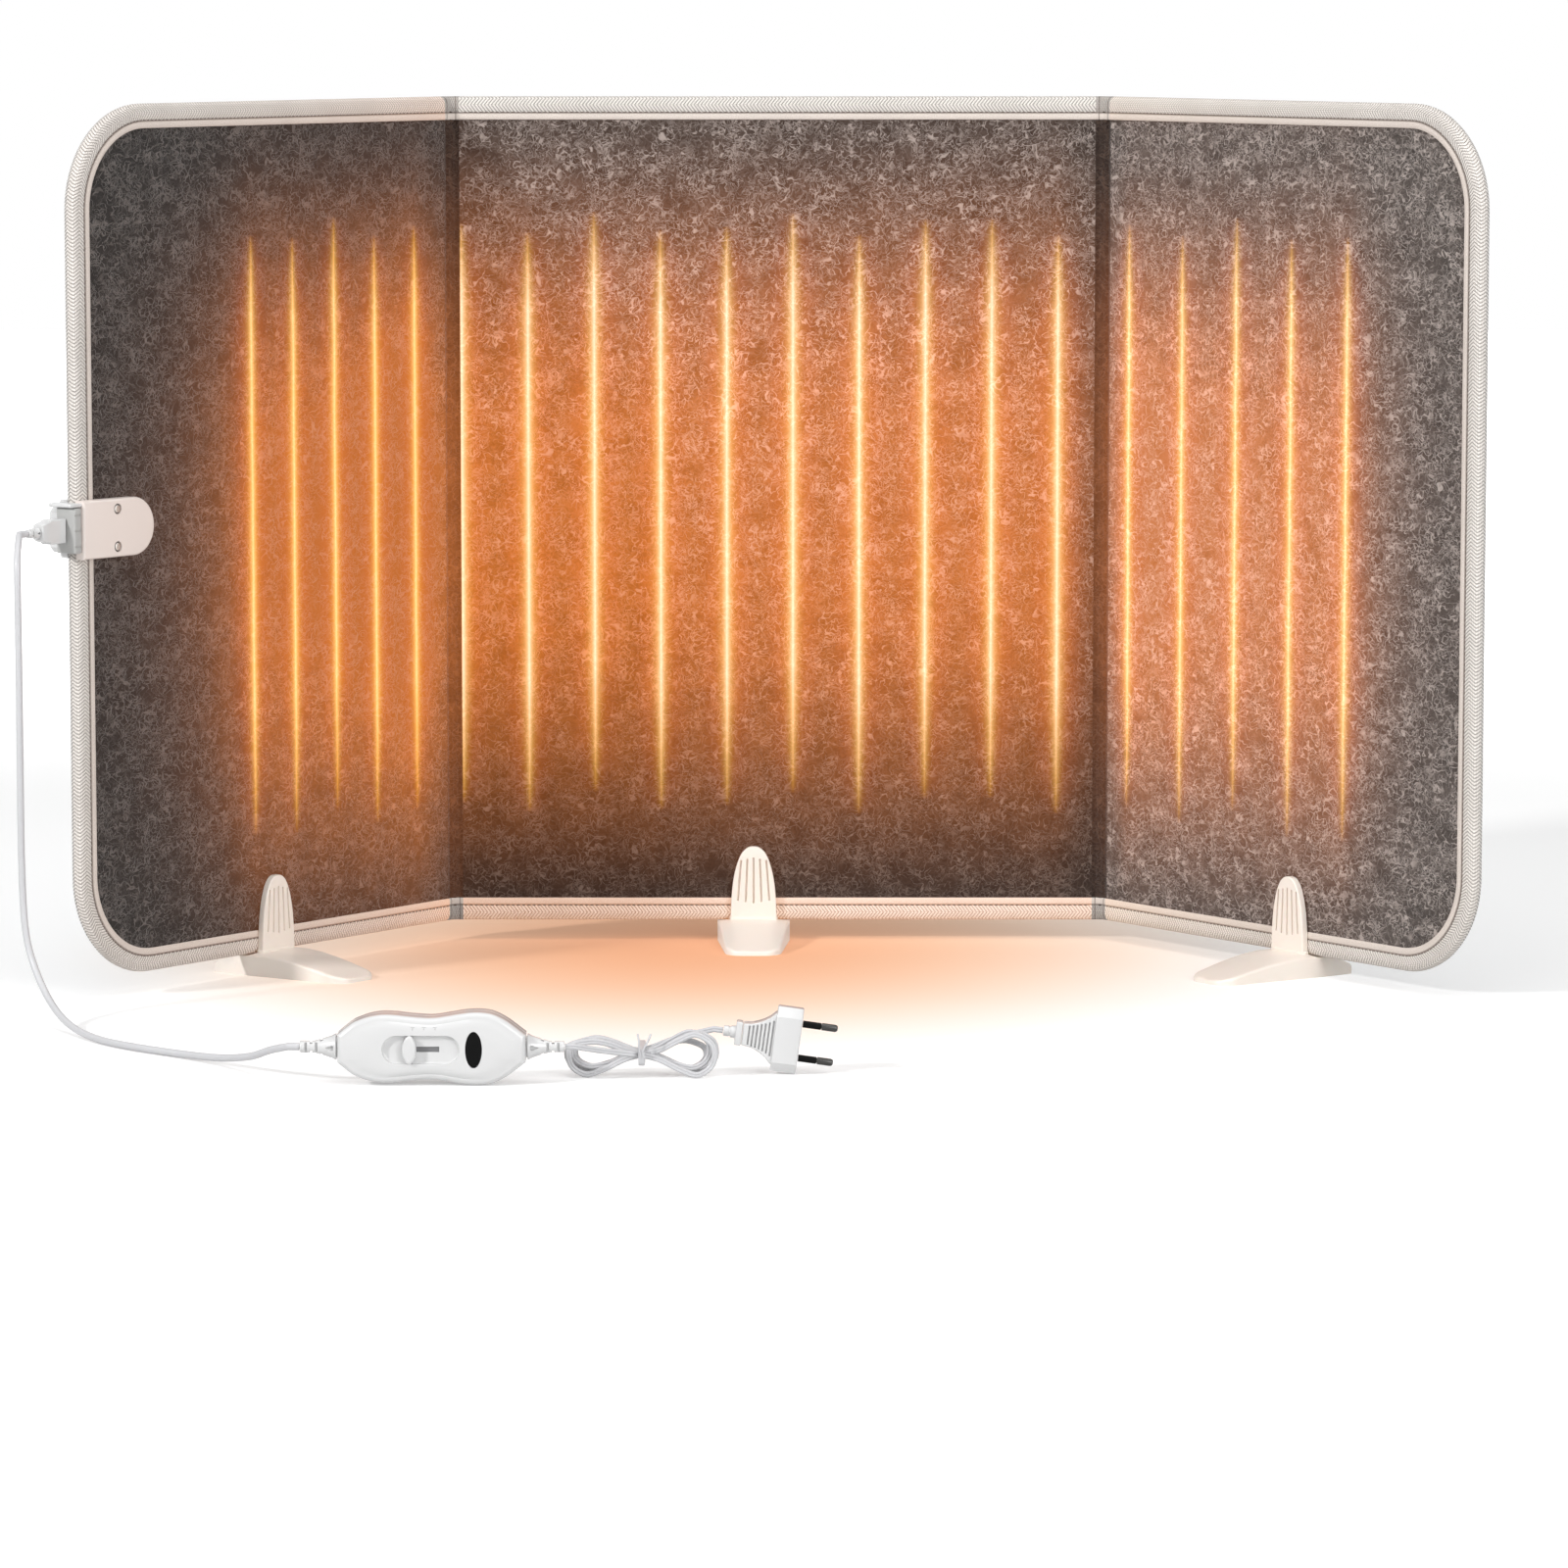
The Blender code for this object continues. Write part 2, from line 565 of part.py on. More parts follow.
# Feet
def foot_mesh():
    """One clip-on foot about its own middle: depth 0 is the front plane of the binding it grips."""
    toe, heel = -FOOT_TOE_REACH, BINDING_DEPTH + FOOT_HEEL_REACH
    seat = PANEL_BOTTOM - GAP
    top = PANEL_BOTTOM + FOOT_SEAT_COVER
    plan = [(FOOT_HEEL_WIDTH / 2, heel), (FOOT_HEEL_WIDTH / 2, 0.0)]
    corner = FOOT_TOE_WIDTH / 2 - FOOT_TOE_ROUND
    for i in range(CORNER_STEPS // 2 + 1):
        angle = math.radians(90 * i / (CORNER_STEPS // 2))
        plan.append((corner + FOOT_TOE_ROUND * math.cos(angle),
                     toe + FOOT_TOE_ROUND - FOOT_TOE_ROUND * math.sin(angle)))
    plan += [(-x, y) for x, y in reversed(plan)]
    body = flat_curve("foot_plan", [plan], top)
    guide = put("foot_plan", body, None, None, Matrix.Translation((0.0, 0.0, top / 2)), cutters)
    base = as_mesh(guide, "foot_base", None, cutters)
    flat = -TONGUE_THICKNESS - FOOT_FLAT_REACH
    slope = [(flat + (toe - flat) * y, FOOT_TOE_HEIGHT + (top - FOOT_TOE_HEIGHT) * z)
             for y, z in TOE_SLOPE_SHARES]
    side = [(heel, -OVERRUN), (heel, FOOT_HEEL_HEIGHT),
            (BINDING_DEPTH + TONGUE_THICKNESS + GAP, top + GAP), (flat, top + GAP), *slope,
            (toe - OVERRUN, FOOT_TOE_HEIGHT), (toe - OVERRUN, -OVERRUN)]
    curve = flat_curve("foot_side", [side], FOOT_HEEL_WIDTH + OVERRUN)
    guide = put("foot_side", curve, None, None, end_on(Matrix(), 0.0), cutters)
    wedge = as_mesh(guide, "foot_wedge", None, cutters)
    cut(base, wedge, "INTERSECT")
    slot = box("foot_slot", (-FOOT_HEEL_WIDTH, -GAP, seat),
               (FOOT_HEEL_WIDTH, BINDING_DEPTH + GAP, top + OVERRUN), None)
    cut(base, slot)
    half = [(TONGUE_WIDTH / 2 * share, PANEL_BOTTOM + TONGUE_HEIGHT * rise)
            for rise, share in TONGUE_SHARES]
    tongue = [(TONGUE_WIDTH / 2, PANEL_BOTTOM - TONGUE_ROOT), *half]
    tongue += [(-x, z) for x, z in reversed(tongue)]
    tools = [wedge, slot]
    for label, near, far in (("front", -GAP - TONGUE_THICKNESS, -GAP),
                             ("back", BINDING_DEPTH + GAP, BINDING_DEPTH + GAP + TONGUE_THICKNESS)):
        blade = solid("foot_tongue_" + label, tongue, near, far)
        cut(base, blade, "UNION")
        tools.append(blade)
    for i in range(GROOVES):
        offset = i - (GROOVES - 1) / 2
        groove = box(f"foot_groove_{i}", (-GROOVE_WIDTH / 2, -GAP - TONGUE_THICKNESS - OVERRUN, GROOVE_LOW),
                     (GROOVE_WIDTH / 2, -GAP - TONGUE_THICKNESS + GROOVE_DEPTH, GROOVE_HIGH), None)
        lean = Matrix.Rotation(math.radians(-GROOVE_LEAN_DEG * offset), 4, "Y")
        groove.matrix_local = Matrix.Translation((GROOVE_PITCH * offset, 0.0, PANEL_BOTTOM)) @ lean
        cut(base, groove)
        tools.append(groove)
    bpy.context.view_layer.update()
    mesh = bpy.data.meshes.new_from_object(base.evaluated_get(bpy.context.evaluated_depsgraph_get()))
    mesh.transform(base.matrix_world)
    for tool in [base, *tools]:
        bpy.data.objects.remove(tool, do_unlink=True)
    mesh.materials.clear()
    mesh.materials.append(FOOT)
    mesh.name = "clip_on_foot"
    return mesh


# Connector and its plug
def round_end(near, far, height, steps, centre):
    """Outline of a plate with one half-round end at the far side, about a height."""
    radius = height / 2
    way = 1 if far > near else -1
    points = [(near, centre - radius), (far - way * radius, centre - radius)]
    for i in range(1, steps):
        angle = math.radians(-90 + 180 * i / steps)
        points.append((far - way * radius * (1 - math.cos(angle)), centre + radius * math.sin(angle)))
    points += [(far - way * radius, centre + radius), (near, centre + radius)]
    return points


def disc(centre_x, centre_z, radius, steps):
    """Outline of a disc."""
    angles = [math.tau * i / steps for i in range(steps)]
    return [(centre_x + radius * math.cos(angle), centre_z + radius * math.sin(angle)) for angle in angles]


def connector(parent):
    """Housing on the left wing's outer edge: front and back shells, socket and two screws."""
    outer = -(WING_WIDTH + SHELL_PROUD)
    front = solid("connector_front_shell", round_end(outer, -(WING_WIDTH - FRONT_SHELL_REACH), SHELL_HEIGHT,
                                                     ROUND_STEPS, CONNECTOR_Z),
                  -GAP - FRONT_SHELL_DEPTH, -GAP, parent, parts)
    round_rim(front, FRONT_SHELL_ROUND)
    front.data.materials.append(SHELL)
    screw_x = -(WING_WIDTH - SCREW_SET_IN)
    face = -GAP - FRONT_SHELL_DEPTH
    for label, way in (("upper", 1), ("lower", -1)):
        height = CONNECTOR_Z + way * SCREW_SPACING / 2
        sink = solid(f"{label}_screw_sink", disc(screw_x, height, SCREW_RADIUS + GAP, ROUND_SIDES),
                     face - OVERRUN, face + SCREW_HEAD + GAP, parent)
        cut(front, sink)
        sheet(f"connector_{label}_screw", disc(screw_x, height, SCREW_RADIUS, ROUND_SIDES),
              face, face + SCREW_HEAD, STEEL, parent)
    back_shell(parent)
    socket = box("connector_socket", (-SOCKET_END, -FRONT_SHELL_DEPTH + SOCKET_FRONT_SET,
                                      CONNECTOR_Z - SOCKET_HEIGHT / 2),
                 (-SOCKET_START, BINDING_DEPTH, CONNECTOR_Z + SOCKET_HEIGHT / 2), parent, parts, SOCKET)
    nose_half = PLUG_THICKNESS / 2 - PLUG_NOSE_STEP + GAP
    nose_rise = PLUG_HEIGHT / 2 - PLUG_NOSE_STEP + GAP
    middle = BINDING_DEPTH / 2
    cavity = box("socket_cavity", (-SOCKET_END - OVERRUN, middle - nose_half, CONNECTOR_Z - nose_rise),
                 (-SOCKET_END + SOCKET_CAVITY, middle + nose_half, CONNECTOR_Z + nose_rise), parent)
    cut(socket, cavity)


def back_shell(parent):
    """Domed back half of the connector: a wide inner lobe and a narrower one past the edge."""
    waist = -(WING_WIDTH - BACK_SHELL_REACH + SHELL_HEIGHT / 2)
    lobe = -(WING_WIDTH + BACK_LOBE_REACH)
    loop = round_end(-WING_WIDTH + TAPE_NOSE, -(WING_WIDTH - BACK_SHELL_REACH), SHELL_HEIGHT, ROUND_STEPS,
                     CONNECTOR_Z)
    half = BACK_LOBE_HEIGHT / 2
    loop += [(-WING_WIDTH, CONNECTOR_Z + half), (lobe, CONNECTOR_Z + half - TAPE_NOSE),
             (lobe, CONNECTOR_Z - half + TAPE_NOSE), (-WING_WIDTH, CONNECTOR_Z - half)]
    front = BINDING_DEPTH + GAP
    rim = front + BACK_SHELL_EDGE
    shell = solid("connector_back_shell", loop, front, rim, parent, parts)
    shell.data.materials.append(SHELL)
    shape = bmesh.new()
    shape.from_mesh(shell.data)
    lowest = min(vert.co.z for vert in shape.verts)
    outside = [face for face in shape.faces if all(vert.co.z < lowest + GAP for vert in face.verts)]
    rise = BACK_SHELL_DEPTH - BACK_SHELL_EDGE
    grown = bmesh.ops.extrude_face_region(shape, geom=outside)
    top = [item for item in grown["geom"] if isinstance(item, bmesh.types.BMVert)]
    bmesh.ops.delete(shape, geom=outside, context="FACES")
    pivot = Vector((waist, CONNECTOR_Z, 0.0))
    for vert in top:
        vert.co.x = pivot.x + (vert.co.x - pivot.x) * BACK_SHELL_CROWN_SHARE
        vert.co.y = pivot.y + (vert.co.y - pivot.y) * BACK_SHELL_CROWN_SHARE
        vert.co.z -= rise
    bmesh.ops.recalc_face_normals(shape, faces=shape.faces)
    shape.to_mesh(shell.data)
    shape.free()


def lead_plug(parent):
    """The plug that pushes into the connector's socket, with its strain relief."""
    middle = BINDING_DEPTH / 2
    half, rise = PLUG_THICKNESS / 2, PLUG_HEIGHT / 2
    nose_rise = rise - PLUG_NOSE_STEP
    body = box("lead_plug_body", (-PLUG_END, middle - half, CONNECTOR_Z - rise),
               (-PLUG_START, middle + half, CONNECTOR_Z + rise), parent, parts, GLOSS)
    for vert in body.data.vertices:
        if vert.co.x < -PLUG_START - MERGE_DISTANCE:
            vert.co.y = middle + (vert.co.y - middle) * PLUG_TAIL_SHARE
            vert.co.z = CONNECTOR_Z + (vert.co.z - CONNECTOR_Z) * PLUG_TAIL_SHARE
    nose_half = half - PLUG_NOSE_STEP
    nose = box("lead_plug_nose", (-PLUG_START - OVERRUN, middle - nose_half, CONNECTOR_Z - nose_rise),
               (-SOCKET_END + SOCKET_CAVITY - GAP, middle + nose_half, CONNECTOR_Z + nose_rise), parent)
    cut(body, nose, "UNION")
    profile = ribbed_profile(PLUG_RELIEF_LENGTH, PLUG_RELIEF_RADIUS, LEAD_DIAMETER / 2 + GAP)
    turned("lead_plug_relief", profile, GLOSS, parent,
           along_x((-PLUG_END - GAP, middle, CONNECTOR_Z), -1))


def ribbed_profile(length, base_radius, tip_radius):
    """Profile of a tapered strain relief with ribs, its tip at the top, outside running down."""
    profile = [(0.0, length)]
    steps = 2 * RELIEF_RIBS
    for i in range(steps + 1):
        share = i / steps
        radius = tip_radius + (base_radius - tip_radius) * share
        if i % 2 and i < steps:
            radius *= RIB_DEPTH_SHARE
        profile.append((radius, length * (1 - share)))
    profile.append((0.0, 0.0))
    return profile


# Controller
def body_loop(inset):
    """Outline of the controller about its middle, drawn in by an inset."""
    half_length = CONTROLLER_LENGTH / 2
    half_height = CONTROLLER_HEIGHT / 2
    upper = [(x * (half_length - inset), share * half_height - inset) for x, share in BODY_SHARES]
    return upper + [(x, -z) for x, z in reversed(upper)]


def stadium(start, end, height, steps):
    """Outline of a slot with two round ends."""
    radius = height / 2
    points = []
    for centre, turn in ((end - radius, -90), (start + radius, 90)):
        for i in range(steps + 1):
            angle = math.radians(turn + 180 * i / steps)
            points.append((centre + radius * math.cos(angle), radius * math.sin(angle)))
    return points


def oval(centre, width, height, steps):
    """Outline of an upright oval."""
    angles = [math.tau * i / steps for i in range(steps)]
    return [(centre + width / 2 * math.cos(angle), height / 2 * math.sin(angle)) for angle in angles]


def controller():
    """Inline controller: two shells, slider, lens, circuit board and switch."""
    stand = frame_at("controller_frame", (CONTROLLER_X, CONTROLLER_Y, CONTROLLER_HEIGHT / 2 + GAP))
    half = CONTROLLER_DEPTH / 2
    steps = CORNER_STEPS
    front = solid("controller_front_shell", body_loop(0.0), -half, -GAP / 2, stand, parts)
    back = solid("controller_back_shell", body_loop(0.0), GAP / 2, half, stand, parts)
    for shell, side in ((front, 1), (back, -1)):
        round_rim(shell, CONTROLLER_ROUND, side)
        shell.data.materials.append(GLOSS)
    inner = body_loop(CONTROLLER_WALL)
    cut(front, solid("front_hollow", inner, -half + CONTROLLER_WALL, OVERRUN, stand))
    cut(back, solid("back_hollow", inner, -OVERRUN, half - CONTROLLER_WALL, stand))
    cut(front, solid("slider_recess", stadium(RECESS_FROM, RECESS_TO, RECESS_HEIGHT, steps),
                     -half - OVERRUN, -half + RECESS_DEPTH, stand))
    slot_start = SLIDER_X - SLIDER_STEM / 2 - 2 * GAP
    slot = [(slot_start, -SLOT_HEIGHT / 2), (SLIDER_SLOT_END, -SLOT_HEIGHT / 2),
            (SLIDER_SLOT_END, SLOT_HEIGHT / 2), (slot_start, SLOT_HEIGHT / 2)]
    cut(front, solid("slider_slot", slot, -half - OVERRUN, -half + CONTROLLER_WALL + OVERRUN, stand))
    cut(front, solid("lens_hole", oval(LENS_X, LENS_WIDTH + 2 * GAP, LENS_HEIGHT + 2 * GAP, ROUND_SIDES),
                     -half - OVERRUN, -half + CONTROLLER_WALL + OVERRUN, stand))
    sheet("indicator_lens", oval(LENS_X, LENS_WIDTH, LENS_HEIGHT, ROUND_SIDES),
          -half - GAP, -half + CONTROLLER_WALL, LENS, stand)
    leaf = [(SLIDER_X + SLIDER_WIDTH / 2 * share, SLIDER_HEIGHT / 2 * rise) for rise, share in LEAF_SHARES]
    leaf += [(2 * SLIDER_X - x, z) for x, z in reversed(leaf[1:-1])]
    floor = -half + RECESS_DEPTH
    knob = solid("slider_knob", leaf, floor - GAP - RECESS_DEPTH - SLIDER_PROUD, floor - GAP, stand, parts)
    knob.data.materials.append(GLOSS)
    stem_half = SLIDER_STEM / 2
    stem = box("slider_stem", (SLIDER_X - stem_half, floor - 2 * GAP, -stem_half),
               (SLIDER_X + stem_half, -half + CONTROLLER_WALL, stem_half), stand)
    cut(knob, stem, "UNION")
    board_back = half - CONTROLLER_WALL - GAP
    board_front = board_back - CIRCUIT_THICKNESS
    box("circuit_board", (-BOARD_LENGTH / 2, board_front, -BOARD_HEIGHT / 2),
        (BOARD_LENGTH / 2, board_back, BOARD_HEIGHT / 2), stand, parts, CIRCUIT)
    middle = SLIDER_X + SLIDER_TRAVEL / 2
    reach = SWITCH_LENGTH / 2
    box("slide_switch", (middle - reach, -half + CONTROLLER_WALL + GAP, -SWITCH_HEIGHT / 2),
        (middle + reach, board_front - GAP, SWITCH_HEIGHT / 2), stand, parts, SWITCH)
    for label, way, cord in (("left", LEFT, LEAD_DIAMETER), ("right", RIGHT, MAINS_DIAMETER)):
        profile = ribbed_profile(RELIEF_LENGTH, RELIEF_RADIUS, max(RELIEF_TIP_RADIUS, cord / 2 + GAP))
        turned(f"{label}_strain_relief", profile, GLOSS, stand,
               along_x((way * (CONTROLLER_LENGTH / 2 + GAP), 0.0, 0.0), way))


def relief_tip(way):
    """World place where a cord meets the controller's strain relief."""
    reach = CONTROLLER_LENGTH / 2 + RELIEF_LENGTH + 2 * GAP
    return Vector((CONTROLLER_X + way * reach, CONTROLLER_Y, CONTROLLER_HEIGHT / 2 + GAP))


# Cords
def lead_cord():
    """The lead from the connector's plug down to the floor and along it to the controller."""
    middle = BINDING_DEPTH / 2
    start = wing_point(LEFT, LEAD_START, middle, CONNECTOR_Z)
    stub = wing_point(LEFT, LEAD_START + LEAD_STUB, middle, CONNECTOR_Z)
    end = relief_tip(LEFT)
    run = end - Vector((LEAD_DIAMETER * 1.5, 0.0, 0.0))
    points = [start, *smooth_route([stub, *LEAD_POINTS, run], LEAD_STEP), end]
    put("lead_cord", tube("lead_cord", points, LEAD_DIAMETER, 3), CORD)
    return points


def hank_points():
    """The hank's loops in an upright plane, drawn in at the waist, each a pitch behind the last."""
    radius = HANK_HEIGHT / 2 - MAINS_RADIUS
    middle = HANK_LENGTH / 2 - MAINS_RADIUS - radius
    height = radius + MAINS_RADIUS + GAP
    per_loop = 2 * (END_STEPS + RUN_STEPS)
    points = []
    for loop in range(HANK_LOOPS):
        for i in range(per_loop):
            side_step = i % (per_loop // 2)
            way = 1 if i < per_loop // 2 else -1
            if side_step < RUN_STEPS + 1:
                share = -1 + 2 * side_step / (RUN_STEPS + 1)
                draw = 1 - (1 - WAIST_SHARE) * (1 - share * share) ** 2
                x, z = way * middle * share, way * radius * draw
            else:
                angle = math.pi * (side_step - RUN_STEPS - 1) / END_STEPS
                x = way * (middle + radius * math.sin(angle))
                z = way * radius * math.cos(angle)
            y = HANK_PITCH * (loop + i / per_loop - HANK_LOOPS / 2)
            points.append(Vector((HANK_X + x, HANK_Y + y, height + z)))
    way_out = [point + Vector((0.0, HANK_PITCH, 0.0)) for point in points[-per_loop:][:RUN_STEPS + 2]]
    return points[(RUN_STEPS + 1) // 2:] + way_out


def mains_cord():
    """From the controller into the hank, round its loops and out to the mains plug."""
    loops = hank_points()
    start = relief_tip(RIGHT)
    straight = Vector((MAINS_DIAMETER * 1.5, 0.0, 0.0))
    middle = start.lerp(loops[0], LEAD_IN_SHARE)
    into = smooth_route([start + straight, middle, loops[0]], 2.5 * MAINS_DIAMETER)
    end = plug_matrix() @ Vector((-BLOCK_LENGTH - GRIP_LENGTH - COLLAR_LENGTH - 2 * GAP, 0.0, 0.0))
    back = plug_matrix().to_3x3() @ straight
    points = [start, *into[:-1], *loops, end - back, end]
    report_gap(points)
    put("mains_cord", tube("mains_cord", points, MAINS_DIAMETER, 1), CORD)
    return points


def report_gap(points):
    """Prints the least gap between two stretches of the hank that aren't neighbours along it."""
    fine = []
    for a, b in zip(points, points[1:]):
        fine += [a.lerp(b, i / 4) for i in range(4)]
    reach = math.ceil(3 * MAINS_DIAMETER / ((fine[1] - fine[0]).length + GAP)) + 8
    least = min((fine[i] - fine[j]).length for i in range(len(fine)) for j in range(i + reach, len(fine)))
    print(f"mains cord least gap to itself {(least - MAINS_DIAMETER) * 1000:.2f} mm")


def hank_tie():
    """Flat tie round the hank's waist."""
    waist = (HANK_HEIGHT / 2 - MAINS_RADIUS) * WAIST_SHARE + MAINS_RADIUS + TIE_SLACK
    spread = HANK_PITCH * (HANK_LOOPS / 2 + WAIST_STRAND_SHARE) + MAINS_RADIUS + GAP
    loops = []
    for grow in (TIE_THICKNESS, 0.0):
        bend = MAINS_RADIUS + GAP + grow
        loop = []
        for i in range(4 * TIE_STEPS):
            angle = math.tau * (i + 0.5) / (4 * TIE_STEPS)
            across, rise = math.cos(angle), math.sin(angle)
            loop.append((math.copysign(spread + grow - bend, across) + bend * across,
                         math.copysign(waist + grow - bend, rise) + bend * rise))
        loops.append(loop)
    curve = flat_curve("hank_tie", loops, TIE_WIDTH)
    place = Matrix.Translation((0.0, HANK_Y, HANK_HEIGHT / 2 + GAP))
    put("hank_tie", curve, TAPE, None, end_on(place, HANK_X))


# Mains plug
def plug_matrix():
    """Frame of the mains plug: its origin is the middle of the pin face, X is the way the pins point."""
    tilt = math.radians(MAINS_PLUG_TILT_DEG)
    height = MAINS_PLUG_HEIGHT / 2 * math.cos(tilt) + GAP
    depth = HANK_Y + HANK_PITCH * (HANK_LOOPS / 2 + END_STRAND_SHARE)
    return Matrix.Translation((MAINS_PLUG_X, depth, height)) @ Matrix.Rotation(tilt, 4, "Y")


def mains_plug():
    """Two-pin mains plug: body, collar, pins and their sleeves."""
    place = plug_matrix()
    half, deep = MAINS_PLUG_HEIGHT / 2, MAINS_PLUG_THICKNESS / 2
    top = [(deep, half - BLOCK_CHAMFER), (deep - BLOCK_CHAMFER_DEPTH, half),
           (BLOCK_CHAMFER_DEPTH - deep, half), (-deep, half - BLOCK_CHAMFER)]
    section = flat_curve("plug_block", [top + [(-y, -z) for y, z in top]], BLOCK_LENGTH)
    guide = put("plug_block", section, None, None, end_on(place, -BLOCK_LENGTH / 2), cutters)
    body = as_mesh(guide, "mains_plug_body", None, parts)
    body.data.materials.append(GLOSS)
    upper = [(OVERRUN - BLOCK_LENGTH, GRIP_HEIGHT / 2)]
    upper += [(-BLOCK_LENGTH - GRIP_LENGTH * along, GRIP_HEIGHT / 2 * share)
              for along, share in GRIP_SHARES]
    loop = upper + [(x, -z) for x, z in reversed(upper)]
    guide = put("plug_grip", flat_curve("plug_grip", [loop], GRIP_THICKNESS), None, None,
                place @ upright(0.0), cutters)
    cut(body, as_mesh(guide, "mains_plug_grip", None, cutters), "UNION")
    collar = [(0.0, COLLAR_LENGTH), (COLLAR_TIP_RADIUS, COLLAR_LENGTH), (NECK_RADIUS, FLANGE_LENGTH),
              (FLANGE_RADIUS, FLANGE_LENGTH), (FLANGE_RADIUS, 0.0), (0.0, 0.0)]
    turned("mains_plug_collar", collar, GLOSS, None,
           place @ along_x((-BLOCK_LENGTH - GRIP_LENGTH - GAP, 0.0, 0.0), -1))
    tip = PIN_LENGTH - PIN_RADIUS
    neck = SLEEVE_LENGTH + GAP
    pin = [(0.0, PIN_LENGTH), (PIN_RADIUS / 2, PIN_LENGTH), (PIN_RADIUS, tip), (PIN_RADIUS, neck),
           (PIN_NECK_RADIUS, neck), (PIN_NECK_RADIUS, 0.0), (0.0, 0.0)]
    sleeve = [(SLEEVE_RADIUS, SLEEVE_LENGTH), (SLEEVE_RADIUS, 0.0), (SLEEVE_BORE_RADIUS, 0.0),
              (SLEEVE_BORE_RADIUS, SLEEVE_LENGTH)]
    for label, way in (("upper", 1), ("lower", -1)):
        seat = place @ along_x((GAP, 0.0, way * PIN_SPACING / 2), 1)
        turned(f"{label}_mains_pin", pin, NICKEL, None, seat)
        turned(f"{label}_pin_sleeve", sleeve, SLEEVE, None, seat, closed=True)


def build():
    """Makes every piece in order."""
    center = frame_at("center_frame", (0.0, FRONT_Y, 0.0))
    left = frame_at("left_wing_frame", (-FOLD_X, FRONT_Y, 0.0), WING_TURN_DEG)
    right = frame_at("right_wing_frame", (FOLD_X, FRONT_Y, 0.0), -WING_TURN_DEG)
    layers("center", center_edge(STACK_SET), center)
    binding("center_bottom_binding", [(-CENTER_HALF, PANEL_BOTTOM), (CENTER_HALF, PANEL_BOTTOM)], center)
    binding("center_top_binding", [(CENTER_HALF, PANEL_TOP), (-CENTER_HALF, PANEL_TOP)], center)
    heating_wire("center", CENTER_FIRST_LINE, CENTER_PITCH, CENTER_LINES, center)
    layers("left", wing_edge(LEFT, STACK_SET), left)
    binding("left_binding", list(reversed(wing_edge(LEFT, 0.0))), left)
    heating_wire("left", -LEFT_FIRST_LINE, -LEFT_PITCH, WING_LINES, left)
    layers("right", wing_edge(RIGHT, STACK_SET), right)
    binding("right_binding", wing_edge(RIGHT, 0.0), right)
    heating_wire("right", RIGHT_FIRST_LINE, RIGHT_PITCH, WING_LINES, right)
    fold_strip("left_fold_felt", LEFT)
    fold_strip("right_fold_felt", RIGHT)
    foot = foot_mesh()
    for name, frame, x in (("left_foot", left, -LEFT_FOOT_PLACE), ("center_foot", center, CENTER_FOOT_X),
                           ("right_foot", right, RIGHT_FOOT_PLACE)):
        put(name, foot, FOOT, frame, Matrix.Translation((x, 0.0, 0.0)))
    connector(left)
    lead_plug(left)
    controller()
    lead = lead_cord()
    mains = mains_cord()
    hank_tie()
    mains_plug()
    for label, points in (("lead cord", lead), ("mains cord", mains)):
        length = sum((b - a).length for a, b in zip(points, points[1:]))
        print(f"{label} length {length:.3f} m, {len(points)} points")


build()
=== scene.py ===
"""Looks of a folding under desk heater panel: felt panels, tape, feet, connector, controller and cords."""
import logging
import math
from collections.abc import Callable, Sequence
from dataclasses import dataclass
from enum import Enum
from functools import cache, partialmethod

import bmesh
import bpy
from mathutils import Matrix, Vector, noise
from mathutils.bvhtree import BVHTree


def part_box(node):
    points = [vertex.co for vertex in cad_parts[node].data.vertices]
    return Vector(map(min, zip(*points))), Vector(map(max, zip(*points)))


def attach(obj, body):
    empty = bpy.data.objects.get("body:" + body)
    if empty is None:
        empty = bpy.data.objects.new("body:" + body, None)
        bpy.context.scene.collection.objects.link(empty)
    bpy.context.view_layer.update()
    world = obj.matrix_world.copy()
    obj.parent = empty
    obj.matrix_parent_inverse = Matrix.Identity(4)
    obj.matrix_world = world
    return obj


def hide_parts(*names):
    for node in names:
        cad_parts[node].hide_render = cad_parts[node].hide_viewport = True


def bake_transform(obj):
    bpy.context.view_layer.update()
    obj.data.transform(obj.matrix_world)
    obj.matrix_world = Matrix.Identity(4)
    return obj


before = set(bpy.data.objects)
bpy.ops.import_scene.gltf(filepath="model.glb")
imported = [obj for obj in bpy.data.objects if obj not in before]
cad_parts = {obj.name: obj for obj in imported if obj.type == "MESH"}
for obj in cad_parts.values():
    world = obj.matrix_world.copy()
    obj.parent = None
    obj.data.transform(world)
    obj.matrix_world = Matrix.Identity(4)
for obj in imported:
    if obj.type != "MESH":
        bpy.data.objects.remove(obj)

log = logging.getLogger("heater_panel")

Point2 = tuple[float, float]
Color = tuple[float, float, float]
Shape = bmesh.types.BMesh
Piece = bpy.types.Object
Material = bpy.types.Material
Node = bpy.types.Node
Socket = bpy.types.NodeSocket
TINY = 1e-6
# Sizes that several classes share: the panels' depth, the gap between fitted solids, a wing's width,
# the connector's height above the floor and the length of a relief at the controller
PANEL_DEPTH = 0.0091
GAP = 0.0003
WING_WIDTH = 0.33
CONNECTOR_HEIGHT = 0.272
RELIEF_LENGTH = 0.02
BLACK = (0.0, 0.0, 0.0)
UP = Vector((0.0, 0.0, 1.0))


class Side(Enum):
    """Which panel a piece belongs to, as the sign of its side along X."""

    LEFT = -1
    CENTER = 0
    RIGHT = 1


class Way(Enum):
    """Which half of a sewn tape a stitch row shows on."""

    FRONT = 1
    BACK = -1


